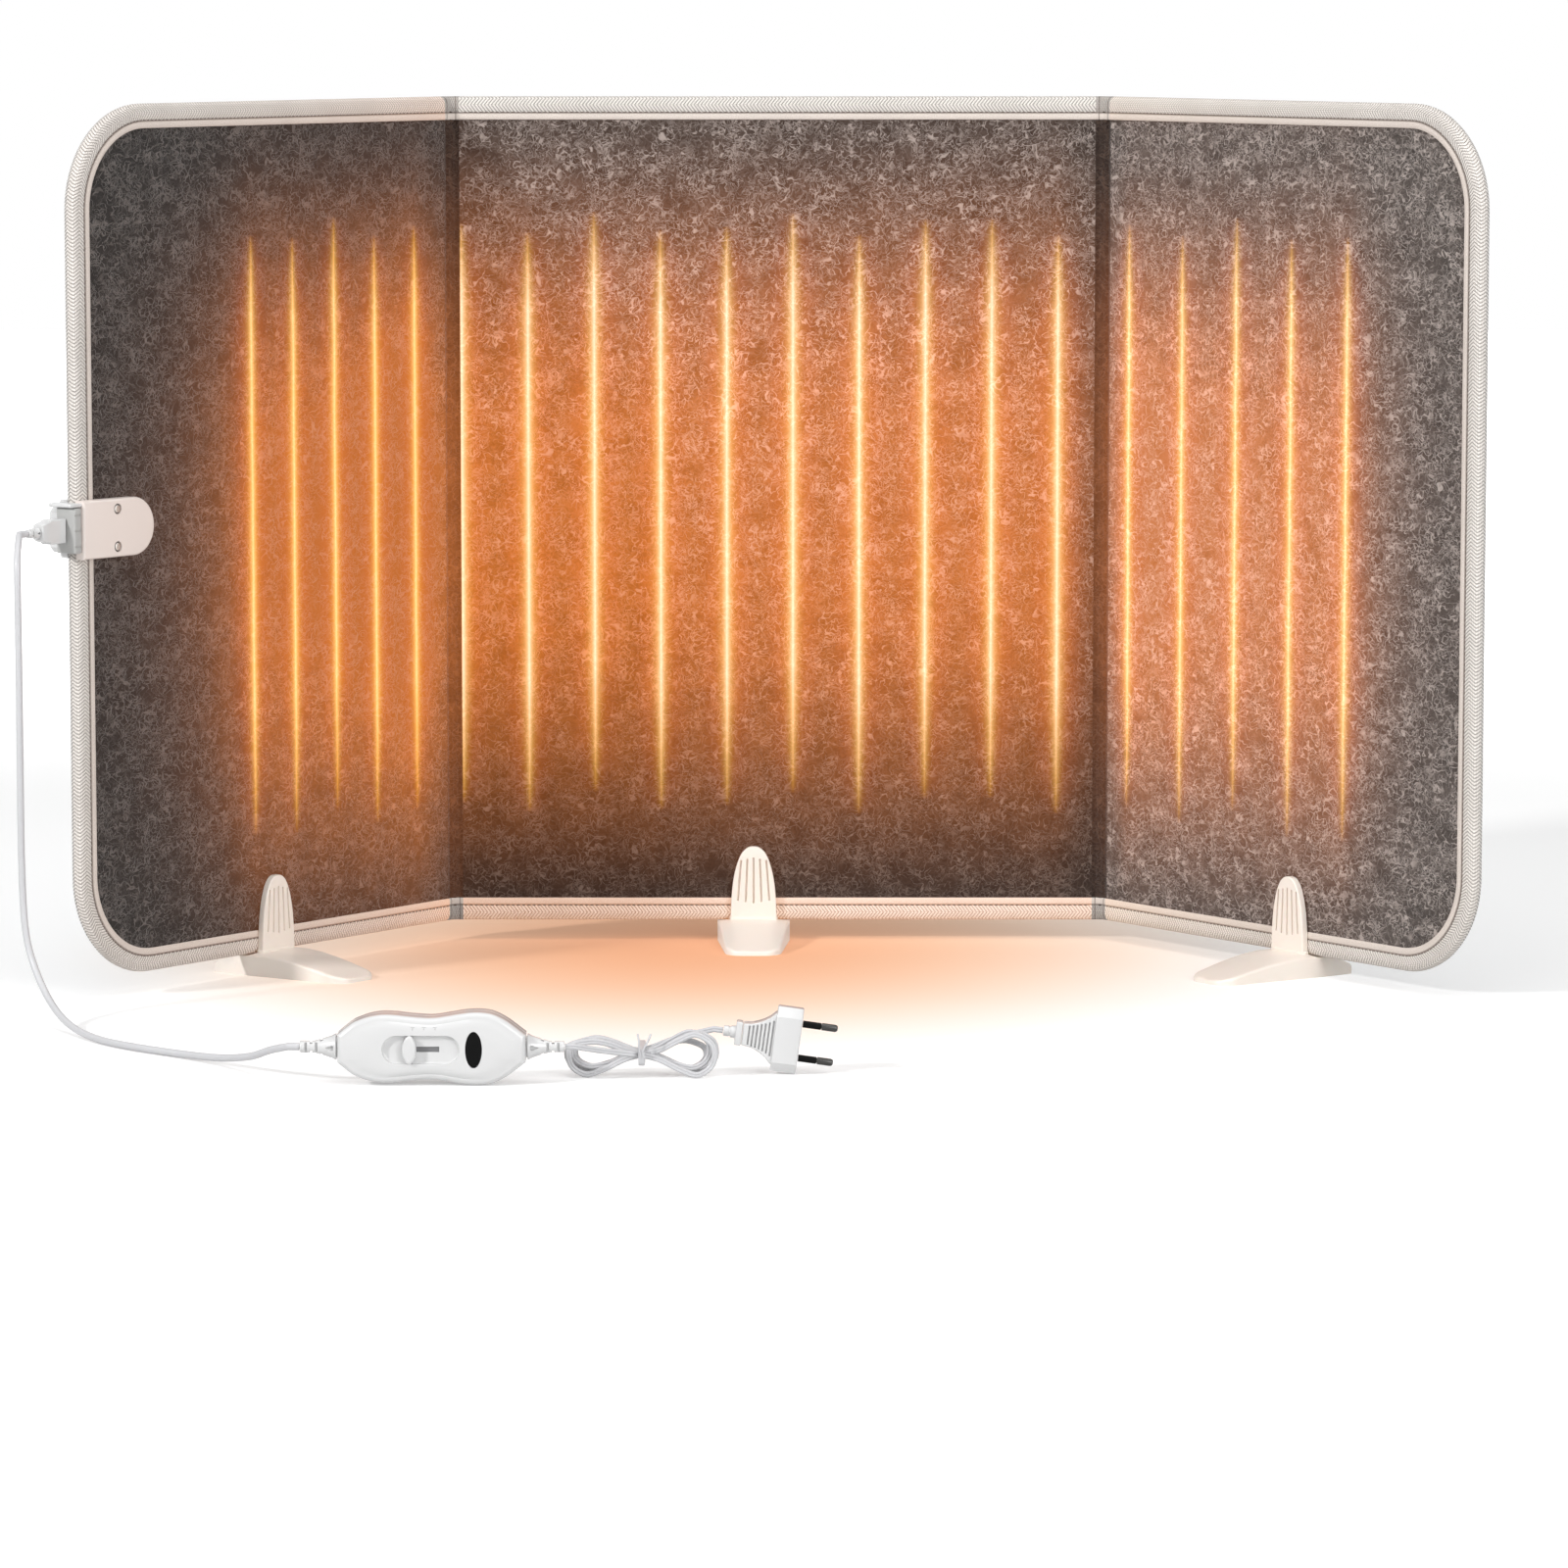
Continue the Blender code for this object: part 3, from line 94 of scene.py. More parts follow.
# Meshes
def add_piece(name: str, shape: Shape, material: Material, smooth_deg: float = 38.0) -> Piece:
    """Makes an object of a finished bmesh.

    Args:
        name: The piece's name.
        shape: The mesh, in world places; it is freed.
        material: The piece's finish.
        smooth_deg: Edges sharper than this stay sharp.

    Returns:
        The new object, at the origin.
    """
    mesh = bpy.data.meshes.new(name)
    shape.to_mesh(mesh)
    shape.free()
    mesh.shade_smooth()
    mesh.set_sharp_from_angle(angle=math.radians(smooth_deg))
    mesh.materials.append(material)
    piece = bpy.data.objects.new(name, mesh)
    bpy.context.scene.collection.objects.link(piece)
    return piece


def settle(piece: Piece, body: str, slot: str, *nodes: str) -> Piece:
    """Puts a piece on its body and hides the nodes that it stands for.

    Args:
        piece: The finished piece.
        body: The body that it moves with.
        slot: The record's material slot; not used.
        *nodes: The solids that it replaces.

    Returns:
        The piece.
    """
    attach(piece, body)
    if nodes:
        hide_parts(*nodes)
    log.info("%s on %s, %d faces", piece.name, body, len(piece.data.polygons))
    return piece


def turn_about(axis: str, degrees: float) -> Matrix:
    """A turn about an axis."""
    return Matrix.Rotation(math.radians(degrees), 4, axis)


def turn_between(start: Vector, end: Vector) -> Matrix:
    """The turn from one direction to another."""
    return start.rotation_difference(end).to_matrix().to_4x4()


def moved(shape: Shape, place: Matrix) -> Shape:
    """Puts a whole bmesh in its place."""
    bmesh.ops.transform(shape, matrix=place, verts=shape.verts)
    return shape


def only(kind: type, geom: Sequence) -> list:
    """The elements of one kind."""
    return [item for item in geom if isinstance(item, kind)]


def soften(shape: Shape, edges: Sequence, radius: float, segments: int) -> None:
    """Rounds some edges of a shape."""
    bmesh.ops.bevel(shape, geom=edges, offset=radius, segments=segments, profile=0.5, affect="EDGES",
        clamp_overlap=True, material=-1)


def cut_across(shape: Shape, axis: int, level: float) -> None:
    """Cuts new edges into a shape where a plane across an axis meets it."""
    normal = Vector([float(i == axis) for i in range(3)])
    bmesh.ops.bisect_plane(shape, geom=shape.verts[:] + shape.edges[:] + shape.faces[:], dist=TINY,
        plane_co=normal * level, plane_no=normal)


def grow(shape: Shape, edges: Sequence, place: Matrix) -> tuple[list, list]:
    """Draws a row of edges out into a strip of faces.

    Args:
        shape: The sheet or tube so far.
        edges: Its last row of edges.
        place: Matrix from the last row to the new one.

    Returns:
        The new row's vertices and edges.
    """
    grown = bmesh.ops.extrude_edge_only(shape, edges=edges)["geom"]
    verts = only(bmesh.types.BMVert, grown)
    bmesh.ops.transform(shape, matrix=place, verts=verts)
    return verts, only(bmesh.types.BMEdge, grown)


def prism(points: Sequence[Sequence[float]], lift: Sequence[float]) -> Shape:
    """A flat face drawn out to a closed prism.

    Args:
        points: The face's corners in order.
        lift: How far, and which way, it is drawn out.

    Returns:
        The closed bmesh.
    """
    shape = bmesh.new()
    face = shape.faces.new([shape.verts.new(point) for point in points])
    grown = bmesh.ops.extrude_face_region(shape, geom=[face])["geom"]
    bmesh.ops.translate(shape, vec=lift, verts=only(bmesh.types.BMVert, grown))
    bmesh.ops.recalc_face_normals(shape, faces=shape.faces)
    return shape


def arc(centre: Point2, radius: float, degrees: Sequence[float]) -> list[Point2]:
    """Points on a circle at some angles."""
    angles = [math.radians(degree) for degree in degrees]
    return [(centre[0] + radius * math.cos(a), centre[1] + radius * math.sin(a)) for a in angles]


def plate(outline: Sequence[Point2], front: float, back: float, front_round: float = 0.0,
        back_round: float = 0.0, segments: int = 4) -> Shape:
    """An upright plate from an outline, with rounded front and back rims.

    Args:
        outline: Points (x, z) in order.
        front: Depth of the front face.
        back: Depth of the back face.
        front_round: Radius of the front rim.
        back_round: Radius of the back rim.
        segments: Steps in each round.

    Returns:
        The closed bmesh.
    """
    shape = prism([(x, back, z) for x, z in outline], (0.0, front - back, 0.0))
    for level, radius in ((front, front_round), (back, back_round)):
        if radius:
            round_level(shape, level, radius, segments)
    return shape


def round_level(shape: Shape, level: float, radius: float, segments: int = 4) -> None:
    """Rounds the rim of the flat face at one depth.

    Args:
        shape: The plate.
        level: Depth of the face.
        radius: Radius of the round.
        segments: Steps in the round.
    """
    rim = [edge for edge in shape.edges if all(abs(vert.co.y - level) < TINY for vert in edge.verts)]
    soften(shape, rim, radius, segments)


def crown(shape: Shape, steps: Sequence[Point2], way: int = -1) -> None:
    """Swells the largest flat face of a plate's front (way -1) or back (way 1) in rings.

    Args:
        shape: The plate.
        steps: Pairs of (share of the ring before, rise).
        way: Sign of the face's normal along Y.
    """
    face = max((f for f in shape.faces if f.normal.y * way > 0.9), key=lambda f: f.calc_area())
    for share, rise in steps:
        middle = face.calc_center_bounds() + Vector((0.0, way * rise, 0.0))
        grown = bmesh.ops.extrude_discrete_faces(shape, faces=[face])
        face = grown["faces"][0]
        bmesh.ops.translate(shape, vec=(0.0, way * rise, 0.0), verts=face.verts)
        bmesh.ops.scale(shape, vec=(share, 1.0, share), space=Matrix.Translation(-middle), verts=face.verts)


def box(low: Sequence[float], high: Sequence[float], radius: float = 0.0) -> Shape:
    """A box between two corners with rounded edges.

    Args:
        low: The lowest corner.
        high: The highest corner.
        radius: Radius of the edges; 0 leaves them sharp.

    Returns:
        The closed bmesh.
    """
    shape = bmesh.new()
    bmesh.ops.create_cube(shape, size=1.0)
    size = Vector(high) - Vector(low)
    bmesh.ops.scale(shape, vec=size, verts=shape.verts)
    bmesh.ops.translate(shape, vec=(Vector(high) + Vector(low)) / 2, verts=shape.verts)
    if radius:
        soften(shape, shape.edges[:], radius, 3)
    return shape


def turned(profile: Sequence[Point2], steps: int = 32) -> Shape:
    """A piece turned about X from a profile of (x, radius), closed at both ends.

    Args:
        profile: Points (x, radius) from end to end.
        steps: Steps round the axis.

    Returns:
        The closed bmesh.
    """
    shape = bmesh.new()
    row = [shape.verts.new((x, 0.0, radius)) for x, radius in profile]
    edges = [shape.edges.new(pair) for pair in zip(row, row[1:])]
    bmesh.ops.spin(shape, geom=row + edges, cent=(0.0, 0.0, 0.0), axis=(1.0, 0.0, 0.0), angle=math.tau,
        steps=steps, use_merge=True)
    bmesh.ops.remove_doubles(shape, verts=shape.verts, dist=TINY)
    bmesh.ops.recalc_face_normals(shape, faces=shape.faces)
    return shape


def joined(shapes: Sequence[Shape]) -> Shape:
    """Several bmeshes in one; the others are freed.

    Args:
        shapes: The bmeshes; the first takes up the others.

    Returns:
        The first one.
    """
    first, *rest = shapes
    for other in rest:
        step = bpy.data.meshes.new("step")
        other.to_mesh(step)
        other.free()
        first.from_mesh(step)
        bpy.data.meshes.remove(step)
    return first


def carved(shape: Shape, tools: Sequence[Shape], operation: str = "DIFFERENCE") -> Shape:
    """A bmesh after exact Booleans with each tool.

    Args:
        shape: What is cut or joined; it is freed.
        tools: The closed tools; they are freed.
        operation: The Boolean's kind.

    Returns:
        The new bmesh.
    """
    objects = []
    for index, part in enumerate((shape, *tools)):
        mesh = bpy.data.meshes.new(f"carve_{index}")
        part.to_mesh(mesh)
        part.free()
        thing = bpy.data.objects.new(f"carve_{index}", mesh)
        bpy.context.scene.collection.objects.link(thing)
        objects.append(thing)
    for tool in objects[1:]:
        step = objects[0].modifiers.new(tool.name, "BOOLEAN")
        step.operation = operation
        step.object = tool
    bpy.context.view_layer.update()
    mesh = bpy.data.meshes.new_from_object(objects[0].evaluated_get(bpy.context.evaluated_depsgraph_get()))
    for thing in objects:
        bpy.data.meshes.remove(thing.data)
    result = bmesh.new()
    result.from_mesh(mesh)
    bpy.data.meshes.remove(mesh)
    return result


def smooth_line(points: Sequence[Sequence[float]], steps: int, closed: bool = False) -> list[Vector]:
    """Points of a smooth curve through given ones.

    Args:
        points: The points to pass through.
        steps: Steps from one point to the next.
        closed: Whether the curve comes back to its start.

    Returns:
        The finer points.
    """
    knots = [Vector(point) for point in points]
    if closed:
        ends = [knots[-1], *knots, knots[0], knots[1]]
    else:
        ends = [2 * knots[0] - knots[1], *knots, 2 * knots[-1] - knots[-2]]
    fine = []
    for before, start, end, after in zip(ends, ends[1:], ends[2:], ends[3:]):
        for i in range(steps):
            t = i / steps
            fine.append(0.5 * (2 * start + (end - before) * t + (2 * before - 5 * start + 4 * end - after)
                * t * t + (3 * start - before - 3 * end + after) * t * t * t))
    if not closed:
        fine.append(knots[-1])
    return fine


def even_steps(line: Sequence[Vector], step: float) -> list[Vector]:
    """Points along a line, an even step apart.

    Args:
        line: The line's points.
        step: About how far apart the new points are.

    Returns:
        The new points.
    """
    lengths = [0.0]
    for a, b in zip(line, line[1:]):
        lengths.append(lengths[-1] + (b - a).length)
    count = max(2, round(lengths[-1] / step))
    route, at = [], 0
    for i in range(count + 1):
        want = lengths[-1] * i / count
        while at < len(line) - 2 and lengths[at + 1] < want:
            at += 1
        route.append(line[at].lerp(line[at + 1], (want - lengths[at]) / (lengths[at + 1] - lengths[at])))
    return route


def run_length(points: Sequence[Sequence[float]]) -> float:
    """Length of a line of points."""
    return sum(math.dist(a, b) for a, b in zip(points, points[1:]))


def smoothstep(low: float, high: float, value: float) -> float:
    """Smooth rise from 0 at low to 1 at high."""
    t = min(max((value - low) / (high - low), 0.0), 1.0)
    return t * t * (3 - 2 * t)


# Node graphs
class Value:
    """A socket's value, which can be reckoned with."""

    def __init__(self, g: "Graph", socket: Socket) -> None:
        """Keeps the socket and its graph."""
        self.g, self.socket = g, socket

    def math(self, operation: str, *others: object) -> "Value":
        """A Math node on this value and others."""
        return self.g.math(operation, self, *others)

    def __rsub__(self, other: object) -> "Value":
        """The difference from a number."""
        return self.g.math("SUBTRACT", other, self)

    __add__ = partialmethod(math, "ADD")
    __sub__ = partialmethod(math, "SUBTRACT")
    __mul__ = partialmethod(math, "MULTIPLY")
    __truediv__ = partialmethod(math, "DIVIDE")
    __pow__ = partialmethod(math, "POWER")
    __abs__ = partialmethod(math, "ABSOLUTE")


class Graph:
    """A short hand for building one node tree."""

    def __init__(self, tree: bpy.types.NodeTree) -> None:
        """Starts on an empty tree."""
        self.tree = tree

    def add(self, kind: str, inputs: dict | None = None, **settings: object) -> Node:
        """Adds a node.

        Args:
            kind: The node's type.
            inputs: Socket names or numbers, with a value or a socket to link.
            **settings: The node's own settings.

        Returns:
            The node.
        """
        node = self.tree.nodes.new(kind)
        for key, value in settings.items():
            setattr(node, key, value)
        self.feed(node, inputs or {})
        return node

    def feed(self, node: Node, inputs: dict) -> None:
        """Feeds a node's inputs.

        Args:
            node: The node.
            inputs: Socket names or numbers, with a value or a socket to link.
        """
        for key, value in inputs.items():
            value = value.socket if isinstance(value, Value) else value
            if isinstance(value, Socket):
                self.tree.links.new(value, node.inputs[key])
            else:
                node.inputs[key].default_value = value

    def out(self, node: Node, output: object = 0) -> Value:
        """A node's output as a value."""
        return Value(self, node.outputs[output])

    def math(self, operation: str, *values: object, clamp: bool = False) -> Value:
        """A Math node's output."""
        return self.out(self.add("ShaderNodeMath", dict(enumerate(values)), operation=operation,
            use_clamp=clamp))

    def vector(self, operation: str, *values: object) -> Value:
        """A Vector Math node's output."""
        return self.out(self.add("ShaderNodeVectorMath", dict(enumerate(values)), operation=operation))

    def split(self, vector: object) -> list[Value]:
        """The three numbers of a vector."""
        node = self.add("ShaderNodeSeparateXYZ", {0: vector})
        return [self.out(node, i) for i in range(3)]

    def cloth(self) -> Value:
        """The piece's cloth attribute."""
        return self.out(self.add("ShaderNodeAttribute", attribute_name="cloth"), "Vector")

    def place(self) -> Value:
        """Object coordinates."""
        return self.out(self.add("ShaderNodeTexCoord"), "Object")

    def ray(self) -> Callable[[str], Value]:
        """The Light Path node's outputs by name."""
        path = self.add("ShaderNodeLightPath")
        return lambda kind: self.out(path, f"Is {kind} Ray")

    def ramp(self, value: object, low: float, high: object, start: float = 0.0, end: float = 1.0) -> Value:
        """A smooth rise of a value between two levels."""
        return self.out(self.add("ShaderNodeMapRange", {0: value, 1: low, 2: high, 3: start, 4: end},
            interpolation_type="SMOOTHSTEP"))

    def mix(self, factor: object, a: object, b: object, blend: str = "MIX") -> Value:
        """A colour mix.

        Args:
            factor: How much of the second colour.
            a: The first colour.
            b: The second colour.
            blend: How they mix.

        Returns:
            The mixed colour.
        """
        a, b = ((*color, 1.0) if isinstance(color, tuple) else color for color in (a, b))
        node = self.add("ShaderNodeMix", data_type="RGBA", blend_type=blend)
        numbers = [i for i, socket in enumerate(node.inputs) if socket.type == "RGBA"]
        self.feed(node, {"Factor": factor, numbers[0]: a, numbers[1]: b})
        return Value(self, next(socket for socket in node.outputs if socket.type == "RGBA"))

    def noise(self, vector: object, scale: object, detail: float = 2.0, roughness: float = 0.5,
            output: str = "Fac") -> Value:
        """A noise texture's output."""
        return self.out(self.add("ShaderNodeTexNoise", {"Vector": vector, "Scale": scale, "Detail": detail,
            "Roughness": roughness, "Distortion": 0.0}), output)

    def group(self, tree: bpy.types.NodeTree, inputs: dict) -> dict[str, Value]:
        """Places a node group.

        Args:
            tree: The group.
            inputs: What feeds it.

        Returns:
            Its outputs by name.
        """
        node = self.add("ShaderNodeGroup", inputs, node_tree=tree)
        return {socket.name: Value(self, socket) for socket in node.outputs}


def new_group(name: str, inputs: Sequence[tuple], outputs: Sequence[tuple[str, str]]) -> tuple:
    """An empty shader node group with named sockets.

    Args:
        name: The group's name.
        inputs: Socket names, types and, for floats, defaults.
        outputs: Socket names and types.

    Returns:
        The group, its graph, its inputs by name and its output node.
    """
    group = bpy.data.node_groups.new(name, "ShaderNodeTree")
    for label, kind, *default in inputs:
        socket = group.interface.new_socket(name=label, in_out="INPUT", socket_type=kind)
        if default:
            socket.default_value = default[0]
    for label, kind in outputs:
        group.interface.new_socket(name=label, in_out="OUTPUT", socket_type=kind)
    g = Graph(group)
    entry = g.add("NodeGroupInput")
    return group, g, {label: g.out(entry, label) for label, *_ in inputs}, g.add("NodeGroupOutput")


FLOAT, VECTOR, COLOR = "NodeSocketFloat", "NodeSocketVector", "NodeSocketColor"
# Each layer of fibres: its scale as a share of the group's
FIBRE_LAYERS = (0.42, 0.58, 0.8, 1.1)
# The heat lines' inputs, each named as its field of HeatLines is
HEAT_INPUTS = ("First", "Pitch", "Count", "Low", "High", "Reach", "Fold", "Base", "Crown", "Crest")
# The heat lines' painted glow in red, green and blue: peak, fall-off in metres, narrow core, power of the
# taper
HEAT_CHANNELS = ((0.45, 0.0055, 0.7, 0.8), (0.8, 0.0022, 0.0, 1.0), (0.58, 0.0014, 0.0, 1.9))
HEAT_CORE = 0.0014


@cache
def felt_fibre_group() -> bpy.types.NodeTree:
    """Short curly fibres lying on a felt, and the felt's blotches.

    Returns:
        The group.
    """
    group, g, inp, out = new_group("felt_fibre", [("Vector", VECTOR), ("Scale", FLOAT, 300.0),
        ("Stretch", FLOAT, 1.0)], [("Fibre", FLOAT), ("Mottle", FLOAT), ("Height", FLOAT)])
    stretched = g.out(g.add("ShaderNodeCombineXYZ", {0: 1.0, 1: inp["Stretch"], 2: 1.0}))
    base = g.vector("MULTIPLY", inp["Vector"], stretched)
    shift = g.vector("SUBTRACT", g.noise(base, 150.0, output="Color"), (0.5, 0.5, 0.5))
    warped = g.vector("MULTIPLY_ADD", shift, (0.0075, 0.0075, 0.0), base)
    strands = None
    for index, share in enumerate(FIBRE_LAYERS):
        laid = g.vector("ADD", warped, (0.37 * index, 0.21 * index, 0.9 * index))
        ridge = abs(g.noise(laid, inp["Scale"] * share, 1.0) * 2.0 - 1.0)
        line = g.ramp(ridge, 0.0, 0.075, 1.0, 0.0) * g.ramp(g.noise(laid, 75.0), 0.36, 0.64)
        strands = line if strands is None else g.math("MAXIMUM", strands, line)
    mottle = g.noise(inp["Vector"], 55.0, 4.0, 0.65) * 0.5 + g.noise(warped, 700.0, 2.0, 0.7) * 0.5
    g.feed(out, {"Fibre": strands, "Mottle": g.ramp(mottle, 0.3, 0.7),
        "Height": strands * 0.6 + mottle * 0.9})
    return group


@cache
def twill_group() -> bpy.types.NodeTree:
    """Herringbone twill on a tape: slanting ribs that turn back at a spine, with thread ends.

    Returns:
        The group.
    """
    group, g, inp, out = new_group("herringbone_twill", [("Along", FLOAT), ("Across", FLOAT),
        ("Spine", FLOAT, 0.0045), ("Pitch", FLOAT, 0.0021), ("Slant", FLOAT, 0.75)],
        [("Rib", FLOAT), ("Fleck", FLOAT), ("Height", FLOAT)])
    off = abs(inp["Across"] - inp["Spine"])
    rib = g.math("SINE", g.math("FRACT", (off * inp["Slant"] + inp["Along"]) / inp["Pitch"]) * math.pi)
    weft = g.math("SINE", g.math("FRACT", off / (inp["Pitch"] * 0.55)) * math.pi)
    cloth = g.out(g.add("ShaderNodeCombineXYZ", {0: inp["Along"], 1: inp["Across"]}))
    thread = g.noise(cloth, 1500.0, 2.0, 0.6)
    body = rib ** 0.7 * (weft * 0.35 + 0.65)
    fleck = g.ramp(rib, 0.42, 0.05) * g.ramp(thread, 0.4, 0.62)
    g.feed(out, {"Rib": body, "Fleck": fleck, "Height": thread * 0.25 + body})
    return group


@cache
def moulded_group() -> bpy.types.NodeTree:
    """Fine grain and slow unevenness of moulded plastic.

    Returns:
        The group.
    """
    group, g, inp, out = new_group("moulded_skin", [("Vector", VECTOR), ("Grain", FLOAT, 900.0),
        ("Roughness", FLOAT, 0.3), ("Spread", FLOAT, 0.06)], [("Shade", FLOAT), ("Roughness", FLOAT),
        ("Height", FLOAT)])
    fine, slow = g.noise(inp["Vector"], inp["Grain"]), g.noise(inp["Vector"], 45.0, 3.0)
    g.feed(out, {"Shade": slow * 0.1 + fine * 0.04, "Height": slow * 0.4 + fine * 0.5,
        "Roughness": inp["Roughness"] + (slow - 0.5) * inp["Spread"]})
    return group


@cache
def glow_group() -> bpy.types.NodeTree:
    """A painted glow of heat showing through the felt along upright lines that taper to both ends.

    Returns:
        The group.
    """
    inputs = [("Vector", VECTOR), *((label, FLOAT) for label in HEAT_INPUTS)]
    group, g, inp, out = new_group("heat_lines", inputs, [("Line", COLOR), ("Warmth", FLOAT)])
    along, rise, _ = g.split(inp["Vector"])
    place = (along - inp["First"]) / inp["Pitch"]
    last = inp["Count"] - 1.0
    index = g.math("MINIMUM", g.math("MAXIMUM", g.math("ROUND", place), 0.0), last)
    height = rise + g.math("SINE", index * 2.3) * 0.007
    top = g.math("DIVIDE", inp["High"] - height, 0.048, clamp=True)
    bottom = g.math("DIVIDE", height - inp["Low"], 0.08, clamp=True)
    taper = (top * bottom) ** 0.7
    spread = abs((place - index) * inp["Pitch"]) / (taper * 0.45 + 0.55)
    channels = []
    for peak, fall, core, share in HEAT_CHANNELS:
        glow = g.math("EXPONENT", spread * (-1.0 / fall)) * peak
        if core:
            glow = g.math("EXPONENT", spread * (-1.0 / HEAT_CORE)) * core + glow
        channels.append(glow * taper ** share)
    pitch = abs(inp["Pitch"])
    beyond = g.math("MAXIMUM", (0.0 - place) * pitch, (place - last) * pitch)
    side = g.math("EXPONENT", g.math("MAXIMUM", beyond, 0.0) / inp["Reach"] * -1.0)
    # Painted light from the next panel: the glow is brighter near a wing's fold
    boost = g.math("EXPONENT", abs(along) * -14.0) * inp["Fold"] + 1.0
    span = g.ramp(rise, inp["Base"], 0.235) * g.ramp(rise, inp["Crown"], inp["Crest"], 1.0, 0.03)
    line = g.out(g.add("ShaderNodeCombineColor", dict(enumerate(channels))))
    g.feed(out, {"Line": line, "Warmth": span * (side * boost)})
    return group


def new_material(name: str) -> tuple[Material, Graph, Node]:
    """A material with its graph and its Principled shader.

    Args:
        name: The material's name.

    Returns:
        The material, its graph and its shader.
    """
    material = bpy.data.materials.new(name)
    material.use_nodes = True
    return material, Graph(material.node_tree), material.node_tree.nodes["Principled BSDF"]


def bump(g: Graph, shader: Node, height: object, distance: float, strength: float = 1.0) -> None:
    """Feeds a shader's normal from a height."""
    node = g.add("ShaderNodeBump", {"Height": height, "Distance": distance, "Strength": strength})
    g.feed(shader, {"Normal": g.out(node)})


@dataclass(frozen=True)
class HeatLines:
    """Places of one panel's glowing lines, in the panel's own frame."""

    first: float
    pitch: float
    count: int
    low: float = 0.084
    high: float = 0.436
    reach: float = 0.024
    # How much brighter the painted glow is near the fold
    fold: float = 0.0
    base: float = 0.0
    crown: float = 0.31
    crest: float = 0.512
    level: float = 1.0
    line: Color = (1.0, 1.0, 1.0)


@dataclass(frozen=True)
class Felt:
    """Needled felt with curly fibres, a painted glow along heat lines where it is a heating face, and
    painted shade towards its bottom where low_shade is under 1.
    """

    name: str
    dark: Color
    light: Color
    fibre: Color
    scale: float = 380.0
    stretch: float = 1.0
    heat: HeatLines | None = None
    # The painted glow's warmest colour
    warm: Color = (0.6, 0.15, 0.006)
    # How dark the painted shade makes the felt at its bottom
    low_shade: float = 1.0

    @cache
    def material(self) -> Material:
        """The felt's material, on the piece's cloth attribute.

        Returns:
            The material, made once.
        """
        material, g, shader = new_material(self.name)
        cloth = g.cloth()
        fibres = g.group(felt_fibre_group(), {"Vector": cloth, "Scale": self.scale,
            "Stretch": self.stretch})
        ground = g.mix(fibres["Mottle"], self.dark, self.light)
        color = g.mix(fibres["Fibre"] * 0.8, ground, self.fibre)
        # Painted shade: the felt is made darker towards its bottom, where less light reaches it
        if self.low_shade < 1.0:
            shade = tuple(self.low_shade * channel for channel in (1.0, 0.93, 0.88))
            painted_low_shade = g.mix(1.0, color, shade, "MULTIPLY")
            color = g.mix(g.ramp(g.split(cloth)[1], 0.02, 0.44), painted_low_shade, color)
        g.feed(shader, {"Base Color": color, "Roughness": 0.95, "Specular IOR Level": 0.15,
            "Sheen Weight": 0.25, "Sheen Roughness": 0.55})
        bump(g, shader, fibres["Height"], 0.0008, 0.7)
        if self.heat:
            self.glow(g, shader, cloth, fibres)
        return material

    def glow(self, g: Graph, shader: Node, cloth: Value, fibres: dict[str, Value]) -> None:
        """Adds the light of the heat lines to a felt.

        Args:
            g: The material's graph.
            shader: Its Principled shader.
            cloth: The vector that the pattern follows.
            fibres: The fibre group's outputs, which break the glow up.
        """
        inputs = {label: float(getattr(self.heat, label.lower())) for label in HEAT_INPUTS}
        lines = g.group(glow_group(), {"Vector": cloth, **inputs})
        texture = fibres["Mottle"] * 0.34 + (fibres["Fibre"] * 0.3 + 0.72)
        warmest = tuple(channel * self.heat.level for channel in self.warm)
        warm = g.mix(lines["Warmth"] * texture, BLACK, warmest)
        line = g.mix(1.0, lines["Line"], self.heat.line, "MULTIPLY")
        # The emission is a painted glow: the felt is no lamp
        g.feed(shader, {"Emission Color": g.mix(1.0, warm, line, "ADD"),
            "Emission Strength": g.ray()("Diffuse") * -0.8 + 1.0})


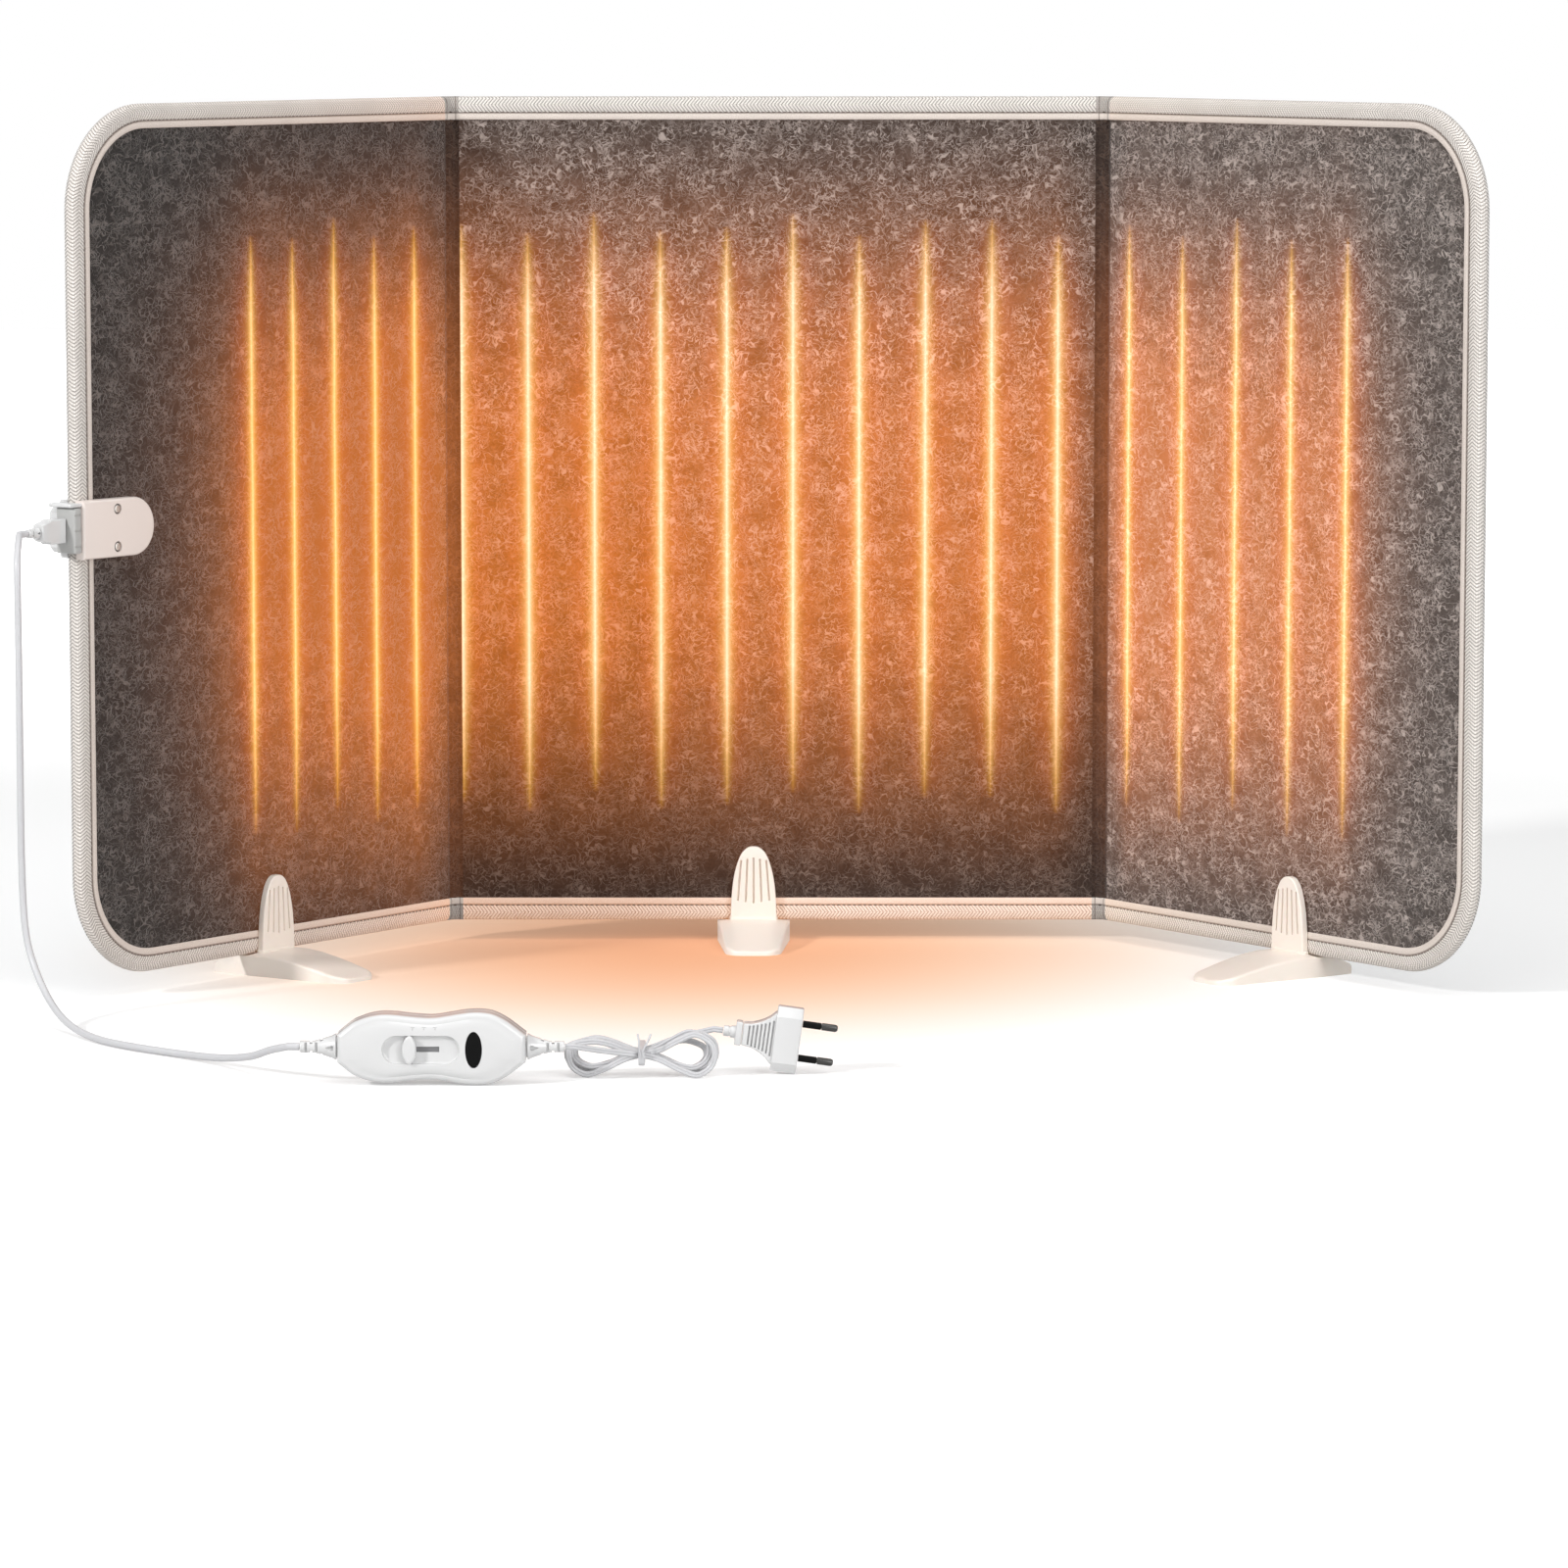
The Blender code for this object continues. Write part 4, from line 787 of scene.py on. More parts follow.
@dataclass(frozen=True)
class TapeCloth:
    """Woven binding tape, ribbed outside its stitch row and plain inside it."""

    name: str
    light: Color = (0.87, 0.825, 0.78)
    shade: Color = (0.38, 0.345, 0.315)
    shadow: Color = (0.15, 0.15, 0.155)
    band: Color = (0.56, 0.49, 0.44)
    band_light: Color = (0.72, 0.65, 0.6)
    fleck: Color = (0.16, 0.14, 0.13)
    groove: Color = (0.17, 0.135, 0.115)
    seam: Color = (0.16, 0.125, 0.105)
    stitch_row: float = 0.0094
    seams: tuple[float, ...] = ()
    # Painted warm light from the glowing felt, on the tape's front near its ends
    warm: Color = BLACK
    reach: float = 0.12
    length: float = 1.0

    @cache
    def material(self) -> Material:
        """The tape's material, on its cloth attribute: along, across, behind the nose.

        Returns:
            The material, made once.
        """
        material, g, shader = new_material(self.name)
        cloth = g.cloth()
        along, across, behind = g.split(cloth)
        twill = g.group(twill_group(), {"Along": along, "Across": across})
        front = g.ramp(behind, 0.4, 0.6, 1.0, 0.0)
        ribbed = g.mix(twill["Rib"], g.mix(front, self.shadow, self.shade), self.light)
        ribbed = g.mix(twill["Fleck"] * 0.55, ribbed, self.fleck)
        inside = g.ramp(across, self.stitch_row - 0.0002, self.stitch_row + 0.0002)
        weave = g.noise(cloth, 1900.0)
        color = g.mix(inside, ribbed, g.mix(g.ramp(weave, 0.35, 0.65), self.band, self.band_light))
        color = g.mix(g.ramp(abs(across - self.stitch_row), 0.0009, 0.0003, 0.0, 0.72), color, self.groove)
        for place in self.seams:
            color = g.mix(g.ramp(abs(along - place), 0.0009, 0.0002, 0.0, 0.75), color, self.seam)
        soil = g.ramp(g.noise(cloth, 28.0, 3.0), 0.3, 0.8, 0.0, 0.16)
        g.feed(shader, {"Base Color": g.mix(soil, color, self.shade), "Roughness": 0.88,
            "Specular IOR Level": 0.25, "Sheen Weight": 0.15})
        # Painted warm light: emission strongest near the tape's ends, on its front only
        if self.warm[0]:
            near, far = (g.math("EXPONENT", run / -self.reach) for run in (along, self.length - along))
            lit = (near + far * 0.45) * (twill["Rib"] * 0.3 + 0.75) * front
            g.feed(shader, {"Emission Color": g.mix(lit, BLACK, self.warm), "Emission Strength": 1.0})
        bump(g, shader, weave * 0.3 + twill["Height"] * (1.0 - inside), 0.0007)
        return material


@dataclass(frozen=True)
class Moulding:
    """Moulded plastic, from satin to glossy."""

    name: str
    color: Color
    roughness: float
    coat: float = 0.0
    grain: float = 900.0
    relief: float = 0.00004
    subsurface: float = 0.0
    specular: float = 0.5

    @cache
    def material(self) -> Material:
        """The plastic's material, on object coordinates.

        Returns:
            The material, made once.
        """
        material, g, shader = new_material(self.name)
        skin = g.group(moulded_group(), {"Vector": g.place(), "Grain": self.grain,
            "Roughness": self.roughness})
        deep = tuple(channel * 0.86 for channel in self.color)
        g.feed(shader, {"Base Color": g.mix(skin["Shade"], self.color, deep),
            "Roughness": skin["Roughness"], "Specular IOR Level": self.specular, "Coat Weight": self.coat,
            "Coat Roughness": 0.06, "Subsurface Weight": self.subsurface, "Subsurface Scale": 0.002})
        bump(g, shader, skin["Height"], self.relief, 0.6)
        return material


@dataclass(frozen=True)
class Metal:
    """Bright metal with fine turning marks."""

    name: str
    color: Color
    roughness: float = 0.22

    @cache
    def material(self) -> Material:
        """The metal's material, on object coordinates.

        Returns:
            The material, made once.
        """
        material, g, shader = new_material(self.name)
        marks = g.noise(g.place(), 2600.0, 3.0, 0.7)
        tone = tuple(channel * 0.8 for channel in self.color)
        g.feed(shader, {"Base Color": g.mix(g.ramp(marks, 0.4, 0.7), self.color, tone), "Metallic": 1.0,
            "Roughness": marks * 0.16 + (self.roughness - 0.08)})
        bump(g, shader, marks, 0.00002)
        return material


# Finishes
# Felts' dark, light and fibre colours
WARM_FELT = ((0.023, 0.0165, 0.0135), (0.1, 0.08, 0.07), (0.49, 0.425, 0.39))
# The fold strips' felt is far darker than the panels': painted shade in the fold's valley
FOLD_FELT = ((0.008, 0.0045, 0.0035), (0.026, 0.016, 0.0115), (0.072, 0.048, 0.036))
# The tape over the folds is a darker copy of the tape: painted shade across the fold
FOLD_TAPE = TapeCloth("shaded_seamed_fold_tape", (0.6, 0.55, 0.51), (0.27, 0.24, 0.22), seams=(0.0036, 0.0146))
BACK_FELT = Felt("blue_grey_felt", (0.3, 0.325, 0.36), (0.44, 0.47, 0.51), (0.6, 0.63, 0.67), 240.0, 2.2)
FOOT_PLASTIC = Moulding("cream_satin_plastic", (0.85, 0.77, 0.695), 0.36, 0.15, subsurface=0.05)
SHELL_PLASTIC = Moulding("blush_beige_plastic", (0.76, 0.675, 0.63), 0.38, 0.1)
WHITE_GLOSS = Moulding("white_gloss_plastic", (0.62, 0.62, 0.62), 0.22, 0.35, relief=0.00002)
SOCKET_GREY = Moulding("grey_socket_plastic", (0.4, 0.4, 0.39), 0.45)
CORD_PVC = Moulding("white_cord_jacket", (0.53, 0.53, 0.545), 0.4, 0.1, grain=1500.0)
LENS_BLACK = Moulding("black_lens", (0.006, 0.006, 0.006), 0.12, 0.0, relief=0.0, specular=0.05)
TICK_GREY = Moulding("grey_tick", (0.42, 0.42, 0.42), 0.5)
BLACK_PLASTIC = Moulding("black_sleeve_plastic", (0.006, 0.006, 0.006), 0.35, specular=0.06)
SLOT_GREY = Moulding("dark_slot_plastic", (0.16, 0.16, 0.165), 0.5)
# A dark disc at the bottom of each screw sink: painted shade in the recess
SINK_SHADE = Moulding("dark_screw_seat", (0.11, 0.085, 0.075), 0.6)
THREAD = Moulding("stitch_thread", (0.15, 0.115, 0.095), 0.85, grain=3000.0, relief=0.0001)
STEEL = Metal("screw_steel_satin", (0.66, 0.64, 0.61), 0.48)
NICKEL = Metal("pin_dark_nickel", (0.065, 0.064, 0.062), 0.28)
BOARD = Moulding("core_board_brown", (0.5, 0.41, 0.31), 0.85, grain=500.0, relief=0.0001)
CIRCUIT = Moulding("green_circuit_board", (0.03, 0.19, 0.08), 0.45)
CARBON = Moulding("carbon_wire", (0.03, 0.02, 0.015), 0.5)


# Panels
@dataclass(frozen=True)
class PanelSizes:
    """Sizes that the three panels share."""

    fold_x: float = 0.1965
    wing_width: float = WING_WIDTH
    turn_deg: float = 52.5
    corner_radius: float = 0.06
    fold_gap: float = 0.005
    depth: float = PANEL_DEPTH
    felt_set: float = 0.0011
    felt_thickness: float = 0.0014
    back_set: float = 0.0066
    layer_inset: float = 0.0035
    tape_leg: float = 0.014
    bottom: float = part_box("left_binding")[0][2]
    top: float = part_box("left_binding")[1][2]

    @property
    def front_y(self) -> float:
        """World Y of the centre binding's front plane."""
        return -self.depth / 2

    @property
    def height(self) -> float:
        """Height of a panel."""
        return self.top - self.bottom


@dataclass(frozen=True)
class PanelPlace:
    """A panel's own frame: x along it, depth behind the front binding plane, z up."""

    sizes: PanelSizes
    side: Side

    @property
    def way(self) -> int:
        """Sign of the panel's side along X; 0 for the centre."""
        return self.side.value

    @property
    def is_center(self) -> bool:
        """Whether this is the centre panel."""
        return self.side is Side.CENTER

    @property
    def body(self) -> str:
        """The body that the panel rides on."""
        return {Side.LEFT: "left_wing", Side.CENTER: "root", Side.RIGHT: "right_wing"}[self.side]

    @property
    def label(self) -> str:
        """The panel's word in piece names."""
        return self.side.name.lower()

    def matrix(self) -> Matrix:
        """World matrix of the panel's frame."""
        turn = turn_about("Z", -self.way * self.sizes.turn_deg)
        return Matrix.Translation((self.way * self.sizes.fold_x, self.sizes.front_y, 0.0)) @ turn

    def point(self, out: float, depth: float, height: float) -> Vector:
        """World place of a point given out from the panel's fold."""
        return self.matrix() @ Vector((self.way * out, depth, height))


@dataclass
class FeltPanel:
    """One panel's soft layers: front felt, back felt and the tape round its edge."""

    place: PanelPlace
    heat: HeatLines
    # Painted shade: how much darker this panel's felt is made, all over and at its bottom
    shade: float = 1.0
    low_shade: float = 1.0
    grid: float = 0.005
    swell: float = 0.0007

    @property
    def sizes(self) -> PanelSizes:
        """Sizes shared by the panels."""
        return self.place.sizes

    def span(self) -> Point2:
        """The panel's ends along its own x.

        Returns:
            The lower end and the higher one.
        """
        sizes = self.sizes
        if self.place.is_center:
            half = sizes.fold_x - sizes.fold_gap
            return -half, half
        ends = (self.place.way * sizes.fold_gap, self.place.way * (sizes.wing_width - sizes.layer_inset))
        return min(ends), max(ends)

    def sheet(self, name: str, depth: float, way: int, material: Material) -> Piece:
        """One felt layer, swelling gently away from the core.

        Args:
            name: The piece's name.
            depth: Depth of the layer's inner face.
            way: -1 for a front felt, 1 for a back felt.
            material: The felt.

        Returns:
            The piece.
        """
        sizes = self.sizes
        start, end = self.span()
        low, high = sizes.bottom + sizes.layer_inset, sizes.top - sizes.layer_inset
        shape = bmesh.new()
        bmesh.ops.create_grid(shape, x_segments=round((end - start) / self.grid),
            y_segments=round((high - low) / self.grid), size=0.5)
        layer = shape.verts.layers.float_vector.new("cloth")
        for vert in shape.verts:
            x, z = start + (end - start) * (vert.co.x + 0.5), low + (high - low) * (vert.co.y + 0.5)
            x, z = self.rounded_corner(x, z)
            vert.co = (x, depth, z)
            vert[layer] = (x, z, 0.0)
        grown = bmesh.ops.extrude_face_region(shape, geom=shape.faces[:])["geom"]
        for vert in only(bmesh.types.BMVert, grown):
            vert.co.y += way * (sizes.felt_thickness + self.puff(vert.co.x, vert.co.z))
        bmesh.ops.recalc_face_normals(shape, faces=shape.faces)
        return add_piece(name, moved(shape, self.place.matrix()), material)

    def rounded_corner(self, x: float, z: float) -> Point2:
        """Draws a point beyond a wing's round corner back onto it.

        Args:
            x: Place along the panel.
            z: Height.

        Returns:
            The place, drawn in where it lay outside.
        """
        if self.place.is_center:
            return x, z
        sizes = self.sizes
        radius = sizes.corner_radius - sizes.layer_inset
        middle_x = self.place.way * (sizes.wing_width - sizes.corner_radius)
        low, high = sizes.bottom + sizes.corner_radius, sizes.top - sizes.corner_radius
        middle_z = min(max(z, low), high)
        outside = (x - middle_x) * self.place.way > 0 and middle_z != z
        reach = math.hypot(x - middle_x, z - middle_z)
        if outside and reach > radius:
            return middle_x + (x - middle_x) * radius / reach, middle_z + (z - middle_z) * radius / reach
        return x, z

    def puff(self, x: float, z: float) -> float:
        """How far the felt stands out at a place: nothing under the tape, more inside it.

        Args:
            x: Place along the panel.
            z: Height.

        Returns:
            The swell in metres.
        """
        sizes = self.sizes
        inset = min(z - sizes.bottom, sizes.top - z)
        if not self.place.is_center:
            inset = min(inset, sizes.wing_width - abs(x))
        inside = smoothstep(sizes.tape_leg, 3.2 * sizes.tape_leg, inset)
        fold = smoothstep(0.0, 0.012, min(abs(x - end) for end in self.span()) if self.place.is_center
            else abs(x) - sizes.fold_gap)
        spot = Vector((x * 26.0, z * 26.0, self.place.way * 3.0))
        wave = 0.5 + 0.5 * noise.noise(spot) + 0.18 * noise.noise(spot * 5.1)
        return self.swell * inside * fold * wave

    def tape_path(self) -> list[Point2]:
        """The tape's line (x, z) round the panel, its panel to the left of the way it runs.

        Returns:
            Points (x, z).
        """
        sizes = self.sizes
        centre = sizes.wing_width - sizes.corner_radius
        points = [(sizes.fold_gap, sizes.bottom)]
        radius = sizes.corner_radius
        for turn, middle in ((-90, sizes.bottom + radius), (0, sizes.top - radius)):
            points += arc((centre, middle), radius, range(turn, turn + 91, 5))
        points.append((sizes.fold_gap, sizes.top))
        return [(self.place.way * x, z) for x, z in points]

    def build(self) -> None:
        """Makes the panel's soft pieces."""
        sizes, label, body = self.sizes, self.place.label, self.place.body
        # Each panel's felt is a darker copy by its shade: painted shade, darkest on the left wing
        levels = (self.shade, self.shade, self.shade ** 0.6)
        tones = [tuple(channel * level for channel in tone) for tone, level in zip(WARM_FELT, levels)]
        upright = 1.0 if self.place.is_center else 1.25
        felt = Felt(f"warm_grey_felt_{label}", *tones, 380.0 / upright, upright, self.heat,
            low_shade=self.low_shade)
        start, end = self.span()
        front = self.sheet(f"{label}_front_felt_sheet", sizes.felt_set + sizes.felt_thickness, -1,
            felt.material())
        back = self.sheet(f"{label}_back_felt_sheet", sizes.back_set, 1, BACK_FELT.material())
        for piece, slot in ((front, "front_felt"), (back, "back_felt")):
            settle(piece, body, slot, f"{label}_{slot}")
        if self.place.is_center:
            half = sizes.fold_x - sizes.fold_gap
            runs = {"bottom": [(-half, sizes.bottom), (half, sizes.bottom)],
                "top": [(half, sizes.top), (-half, sizes.top)]}
            origin = self.place.matrix()
            for word, path in runs.items():
                # Painted warm light from the glowing felt on the centre's bottom tape
                warm = (0.26, 0.085, 0.01) if word == "bottom" else BLACK
                Tape(f"center_{word}", path, origin, body, warm, 4.0).build(f"center_{word}_binding")
        else:
            path = self.tape_path()
            # Painted warm light from the glowing felt on the wing's tape
            warm = (0.34, 0.1, 0.0) if self.place.side is Side.LEFT else (0.22, 0.12, 0.05)
            Tape(label, path, self.place.matrix(), body, warm).build(f"{label}_binding")


# The tape's section, from its front inner edge to the middle of its nose: inset and depth
TAPE_SECTION = ((0.014, 0.0008), (0.0139, 0.0003), (0.0134, 0.0), (0.012, -0.0001), (0.0106, 0.0),
    (0.0099, 0.0002), (0.0094, 0.0005), (0.0089, 0.0002), (0.0082, 0.0), (0.0062, -0.0001), (0.0042, 0.0),
    (0.0026, 0.0004), (0.0013, 0.0013), (0.0004, 0.0027))


@dataclass
class Tape:
    """Binding tape sewn over a panel's edge."""

    name: str
    path: Sequence[Point2]
    origin: Matrix
    body: str
    # Painted warm light on the tape from the glowing felt, and how far from the tape's ends it reaches
    warm: Color = BLACK
    warm_reach: float = 0.12
    depth: float = PANEL_DEPTH
    thickness: float = 0.0007
    stitch_row: float = 0.0094
    stitch_pitch: float = 0.0032
    stitch_length: float = 0.0023
    stitch_radius: float = 0.00036

    def section(self) -> list[Point2]:
        """The whole section, front edge round to back edge."""
        front = list(TAPE_SECTION)
        back = [(inset, self.depth - deep) for inset, deep in reversed(front)]
        return [*front, (0.0, self.depth / 2), *back]

    def frames(self) -> list[tuple[Matrix, float]]:
        """The section's matrix and the run so far at each point of the path.

        Returns:
            Pairs of a matrix and a length.
        """
        path = [Vector((x, z)) for x, z in self.path]
        frames, run = [], 0.0
        for i, here in enumerate(path):
            if i:
                run += (here - path[i - 1]).length
            ahead = (path[min(i + 1, len(path) - 1)] - here).normalized()
            behind = (here - path[max(i - 1, 0)]).normalized()
            way = (ahead + behind).normalized()
            inward = Vector((-way.y, way.x)) * self.turn_sign()
            frame_matrix = Matrix(((inward.x, 0.0, way.x, here.x), (0.0, 1.0, 0.0, 0.0),
                (inward.y, 0.0, way.y, here.y), (0.0, 0.0, 0.0, 1.0)))
            frames.append((frame_matrix, run))
        return frames

    def turn_sign(self) -> int:
        """1 where the panel lies to the left of the path, -1 where it lies to the right."""
        return -1 if self.path[-1][0] < 0 and len(self.path) > 2 else 1

    def build(self, node: str) -> Piece:
        """Makes the tape and its two stitch rows.

        Args:
            node: The solid that the tape replaces.

        Returns:
            The tape.
        """
        shape = sweep_cloth(self.section(), self.frames(), self.across())
        bmesh.ops.solidify(shape, geom=shape.faces[:], thickness=self.thickness)
        cloth = TapeCloth(f"cream_twill_tape_{self.name}", warm=self.warm, reach=self.warm_reach,
            length=self.frames()[-1][1])
        tape = add_piece(f"{self.name}_edge_tape", moved(shape, self.origin), cloth.material(), 60.0)
        settle(tape, self.body, "binding_tape", node)
        length = self.frames()[-1][1]
        width = run_length(self.section())
        rows = [self.stitches(way) for way in Way]
        return tape

    def across(self) -> list[float]:
        """Distance of each section point from the tape's outer edge, counted on its face.

        Returns:
            One distance for each point.
        """
        section = self.section()
        nose = len(section) // 2
        return [abs(sum(math.dist(section[j], section[j + 1]) for j in range(min(i, nose), max(i, nose)))
            - self.depth / 2 * 0.7) for i in range(len(section))]

    def stitches(self, way: Way) -> Piece:
        """One row of stitches, sunk in its groove.

        Args:
            way: The face that the row shows on.

        Returns:
            The piece.
        """
        frames = self.frames()
        count = int(frames[-1][1] / self.stitch_pitch)
        depth = 0.0004 if way is Way.FRONT else self.depth - 0.0004
        one_stitch = bmesh.new()
        bmesh.ops.create_uvsphere(one_stitch, u_segments=6, v_segments=4, radius=1.0)
        mold = bpy.data.meshes.new("stitch")
        one_stitch.to_mesh(mold)
        one_stitch.free()
        shape = bmesh.new()
        at = 0
        for i in range(count):
            want = (i + 0.5) * self.stitch_pitch
            while frames[at + 1][1] < want:
                at += 1
            (one, start), (two, end) = frames[at], frames[at + 1]
            share = (want - start) / (end - start)
            first, second = (matrix @ Vector((self.stitch_row, depth, 0.0)) for matrix in (one, two))
            middle = first.lerp(second, share)
            turn = turn_between(UP, (second - first).normalized())
            size = Matrix.Diagonal((self.stitch_radius, self.stitch_radius * 1.2, self.stitch_length / 2,
                1.0))
            shape.from_mesh(mold)
            shape.verts.ensure_lookup_table()
            bmesh.ops.transform(shape, matrix=Matrix.Translation(middle) @ turn @ size,
                verts=shape.verts[-len(mold.vertices):])
        bpy.data.meshes.remove(mold)
        row = add_piece(f"{self.name}_{way.name.lower()}_stitches", moved(shape, self.origin),
            THREAD.material())
        return settle(row, self.body, "binding_tape")


def sweep_cloth(section: Sequence[Point2], frames: Sequence[tuple[Matrix, float]],
        across: Sequence[float]) -> Shape:
    """Carries an open section along frames, noting how far along and across each point is.

    Args:
        section: Points (inset, depth) in each frame.
        frames: A matrix and the run so far for each step.
        across: The cloth coordinate of each section point.

    Returns:
        The open sheet.
    """
    shape = bmesh.new()
    shape.verts.layers.float_vector.new("cloth")
    order = shape.verts.layers.int.new("order")
    layer = shape.verts.layers.float_vector["cloth"]
    row = [shape.verts.new((inset, depth, 0.0)) for inset, depth in section]
    for i, vert in enumerate(row):
        vert[order] = i
    edges = [shape.edges.new(pair) for pair in zip(row, row[1:])]
    matrix, run = frames[0]
    bmesh.ops.transform(shape, matrix=matrix, verts=row)
    nose = len(section) // 2
    for vert in row:
        vert[layer] = (run, across[vert[order]], float(vert[order] > nose))
    for (before, _), (matrix, run) in zip(frames, frames[1:]):
        verts, edges = grow(shape, edges, matrix @ before.inverted())
        for vert in verts:
            vert[layer] = (run, across[vert[order]], float(vert[order] > nose))
    shape.verts.layers.int.remove(order)
    bmesh.ops.recalc_face_normals(shape, faces=shape.faces)
    return shape


@dataclass
class SoftFold:
    """The felt and tape that bend between the centre panel and a wing."""

    place: PanelPlace
    steps: int = 12
    rows: int = 90

    def blend(self, piece: Piece) -> None:
        """Bakes a piece's place into its mesh.

        Args:
            piece: The piece.
        """
        sizes, way = self.place.sizes, self.place.way
        start = (way * (sizes.fold_x - sizes.fold_gap), sizes.front_y, 0.0)
        end = self.place.point(sizes.fold_gap, 0.0, 0.0)
        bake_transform(piece)

    def station(self, share: float, depth: float) -> Vector:
        """Plan place at a share of the way across the fold, at a depth behind the front plane.

        Args:
            share: Share of the way across.
            depth: Depth behind the front plane.

        Returns:
            The place (x, y).
        """
        sizes, way = self.place.sizes, self.place.way
        axis = Vector((way * sizes.fold_x, sizes.front_y))
        turn = math.radians(-way * sizes.turn_deg)
        along = Vector((way, 0.0))
        if share > 0.5:
            along.rotate(Matrix.Rotation(turn, 2))
        spread = sizes.fold_gap * (2 * share - 1)
        back = Vector((0.0, depth))
        back.rotate(Matrix.Rotation(turn * smoothstep(0.0, 1.0, share), 2))
        return axis + along * spread + back

    def width(self, depth: float) -> float:
        """How wide a strip that crosses the fold at one depth is."""
        return run_length([self.station(i / self.steps, depth) for i in range(self.steps + 1)])

    def felt(self, name: str, depths: Callable[[float], float], way: int, material: Material) -> Piece:
        """A felt strip over the fold.

        Args:
            name: The piece's name.
            depths: Depth of the strip's visible face at a share across.
            way: -1 for the front strip, 1 for the back strip.
            material: The felt.

        Returns:
            The piece.
        """
        sizes = self.place.sizes
        low, high = sizes.bottom + sizes.layer_inset, sizes.top - sizes.layer_inset
        shape = bmesh.new()
        bmesh.ops.create_grid(shape, x_segments=self.steps, y_segments=self.rows, size=0.5)
        layer = shape.verts.layers.float_vector.new("cloth")
        inner = []
        for vert in shape.verts:
            share, z = vert.co.x + 0.5, low + (high - low) * (vert.co.y + 0.5)
            wobble = 0.00018 * noise.noise(Vector((share * 2.0, z * 60.0, way * 2.0)))
            depth = depths(share) + wobble * math.sin(math.pi * share)
            outer = self.station(share, depth)
            deeper = self.station(share, depth - way * sizes.felt_thickness)
            inner.append(Vector((deeper.x, deeper.y, z)))
            along = self.place.way * sizes.fold_gap * (2 * share - 1)
            vert.co = (outer.x, outer.y, z)
            vert[layer] = (along, z, 0.0)
        order = shape.verts.layers.int.new("order")
        for i, vert in enumerate(shape.verts):
            vert[order] = i
        grown = bmesh.ops.extrude_face_region(shape, geom=shape.faces[:])["geom"]
        for vert in only(bmesh.types.BMVert, grown):
            vert.co = inner[vert[order]]
        shape.verts.layers.int.remove(order)
        bmesh.ops.recalc_face_normals(shape, faces=shape.faces)
        piece = add_piece(name, shape, material, 60.0)
        self.blend(piece)
        return piece

    def build(self, heat: HeatLines) -> None:
        """Makes the front strip, the back strip and the tape over the fold's ends.

        Args:
            heat: The wing's heat lines, whose painted glow shows on the strip too.
        """
        sizes, label = self.place.sizes, self.place.label
        # Painted shade: the fold strip's dark felt, with the wing's painted glow
        dark = Felt(f"pressed_fold_felt_{label}", *FOLD_FELT, heat=heat, warm=(0.47, 0.118, 0.012))

        def front(share: float) -> float:
            """Two pressed creases with a soft ridge between them.

            Args:
                share: Share of the way across.

            Returns:
                The depth.
            """
            crease = sum(math.exp(-((share - spot) / 0.055) ** 2) for spot in (0.2, 0.8))
            bridge = 0.0009 * math.exp(-((share - 0.5) / 0.18) ** 2)
            return sizes.felt_set + 0.0009 * crease - bridge

        def back(share: float) -> float:
            """A smooth round over the back of the fold."""
            return sizes.back_set + sizes.felt_thickness - 0.0002 * math.sin(math.pi * share)

        pieces = (self.felt(f"{label}_fold_front_strip", front, -1, dark.material()),
            self.felt(f"{label}_fold_back_strip", back, 1, BACK_FELT.material()))
        for piece, slot, depth in zip(pieces, ("fold_felt", "back_felt"), (sizes.felt_set, sizes.back_set)):
            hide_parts(f"{label}_fold_felt")
            self.width(depth + sizes.felt_thickness / 2)
            log.info("%s bends with the %s fold", piece.name, label)
        for word, level, inward in (("bottom", sizes.bottom, 1.0), ("top", sizes.top, -1.0)):
            self.end_tape(word, level, inward)

    def end_tape(self, word: str, level: float, inward: float) -> None:
        """Tape over one end of the fold.

        Args:
            word: Which end.
            level: Height of the tape's outer edge.
            inward: Sign of the way into the panel along Z.
        """
        tape = Tape(f"{self.place.label}_fold_{word}", [(0.0, 0.0), (1.0, 0.0)], Matrix(), "root")
        section = tape.section()
        frames = []
        for i in range(self.steps + 1):
            share = i / self.steps
            pinch = 1.0 - 0.1 * sum(math.exp(-((share - spot) / 0.06) ** 2) for spot in (0.2, 0.8))
            near, far = self.station(share, 0.0), self.station(share, tape.depth)
            middle = (near + far) / 2
            reach = (far - near) / tape.depth * pinch
            start = middle - reach * tape.depth / 2
            side = Vector((reach.y, -reach.x)) * self.place.way
            matrix = Matrix(((0.0, reach.x, side.x, start.x), (0.0, reach.y, side.y, start.y),
                (inward, 0.0, 0.0, level), (0.0, 0.0, 0.0, 1.0)))
            frames.append((matrix, 2 * tape.depth * share))
        shape = sweep_cloth(section, frames, tape.across())
        bmesh.ops.solidify(shape, geom=shape.faces[:], thickness=tape.thickness)
        piece = add_piece(f"{tape.name}_tape", shape, FOLD_TAPE.material(), 60.0)
        self.blend(piece)
        self.width(tape.depth / 2)


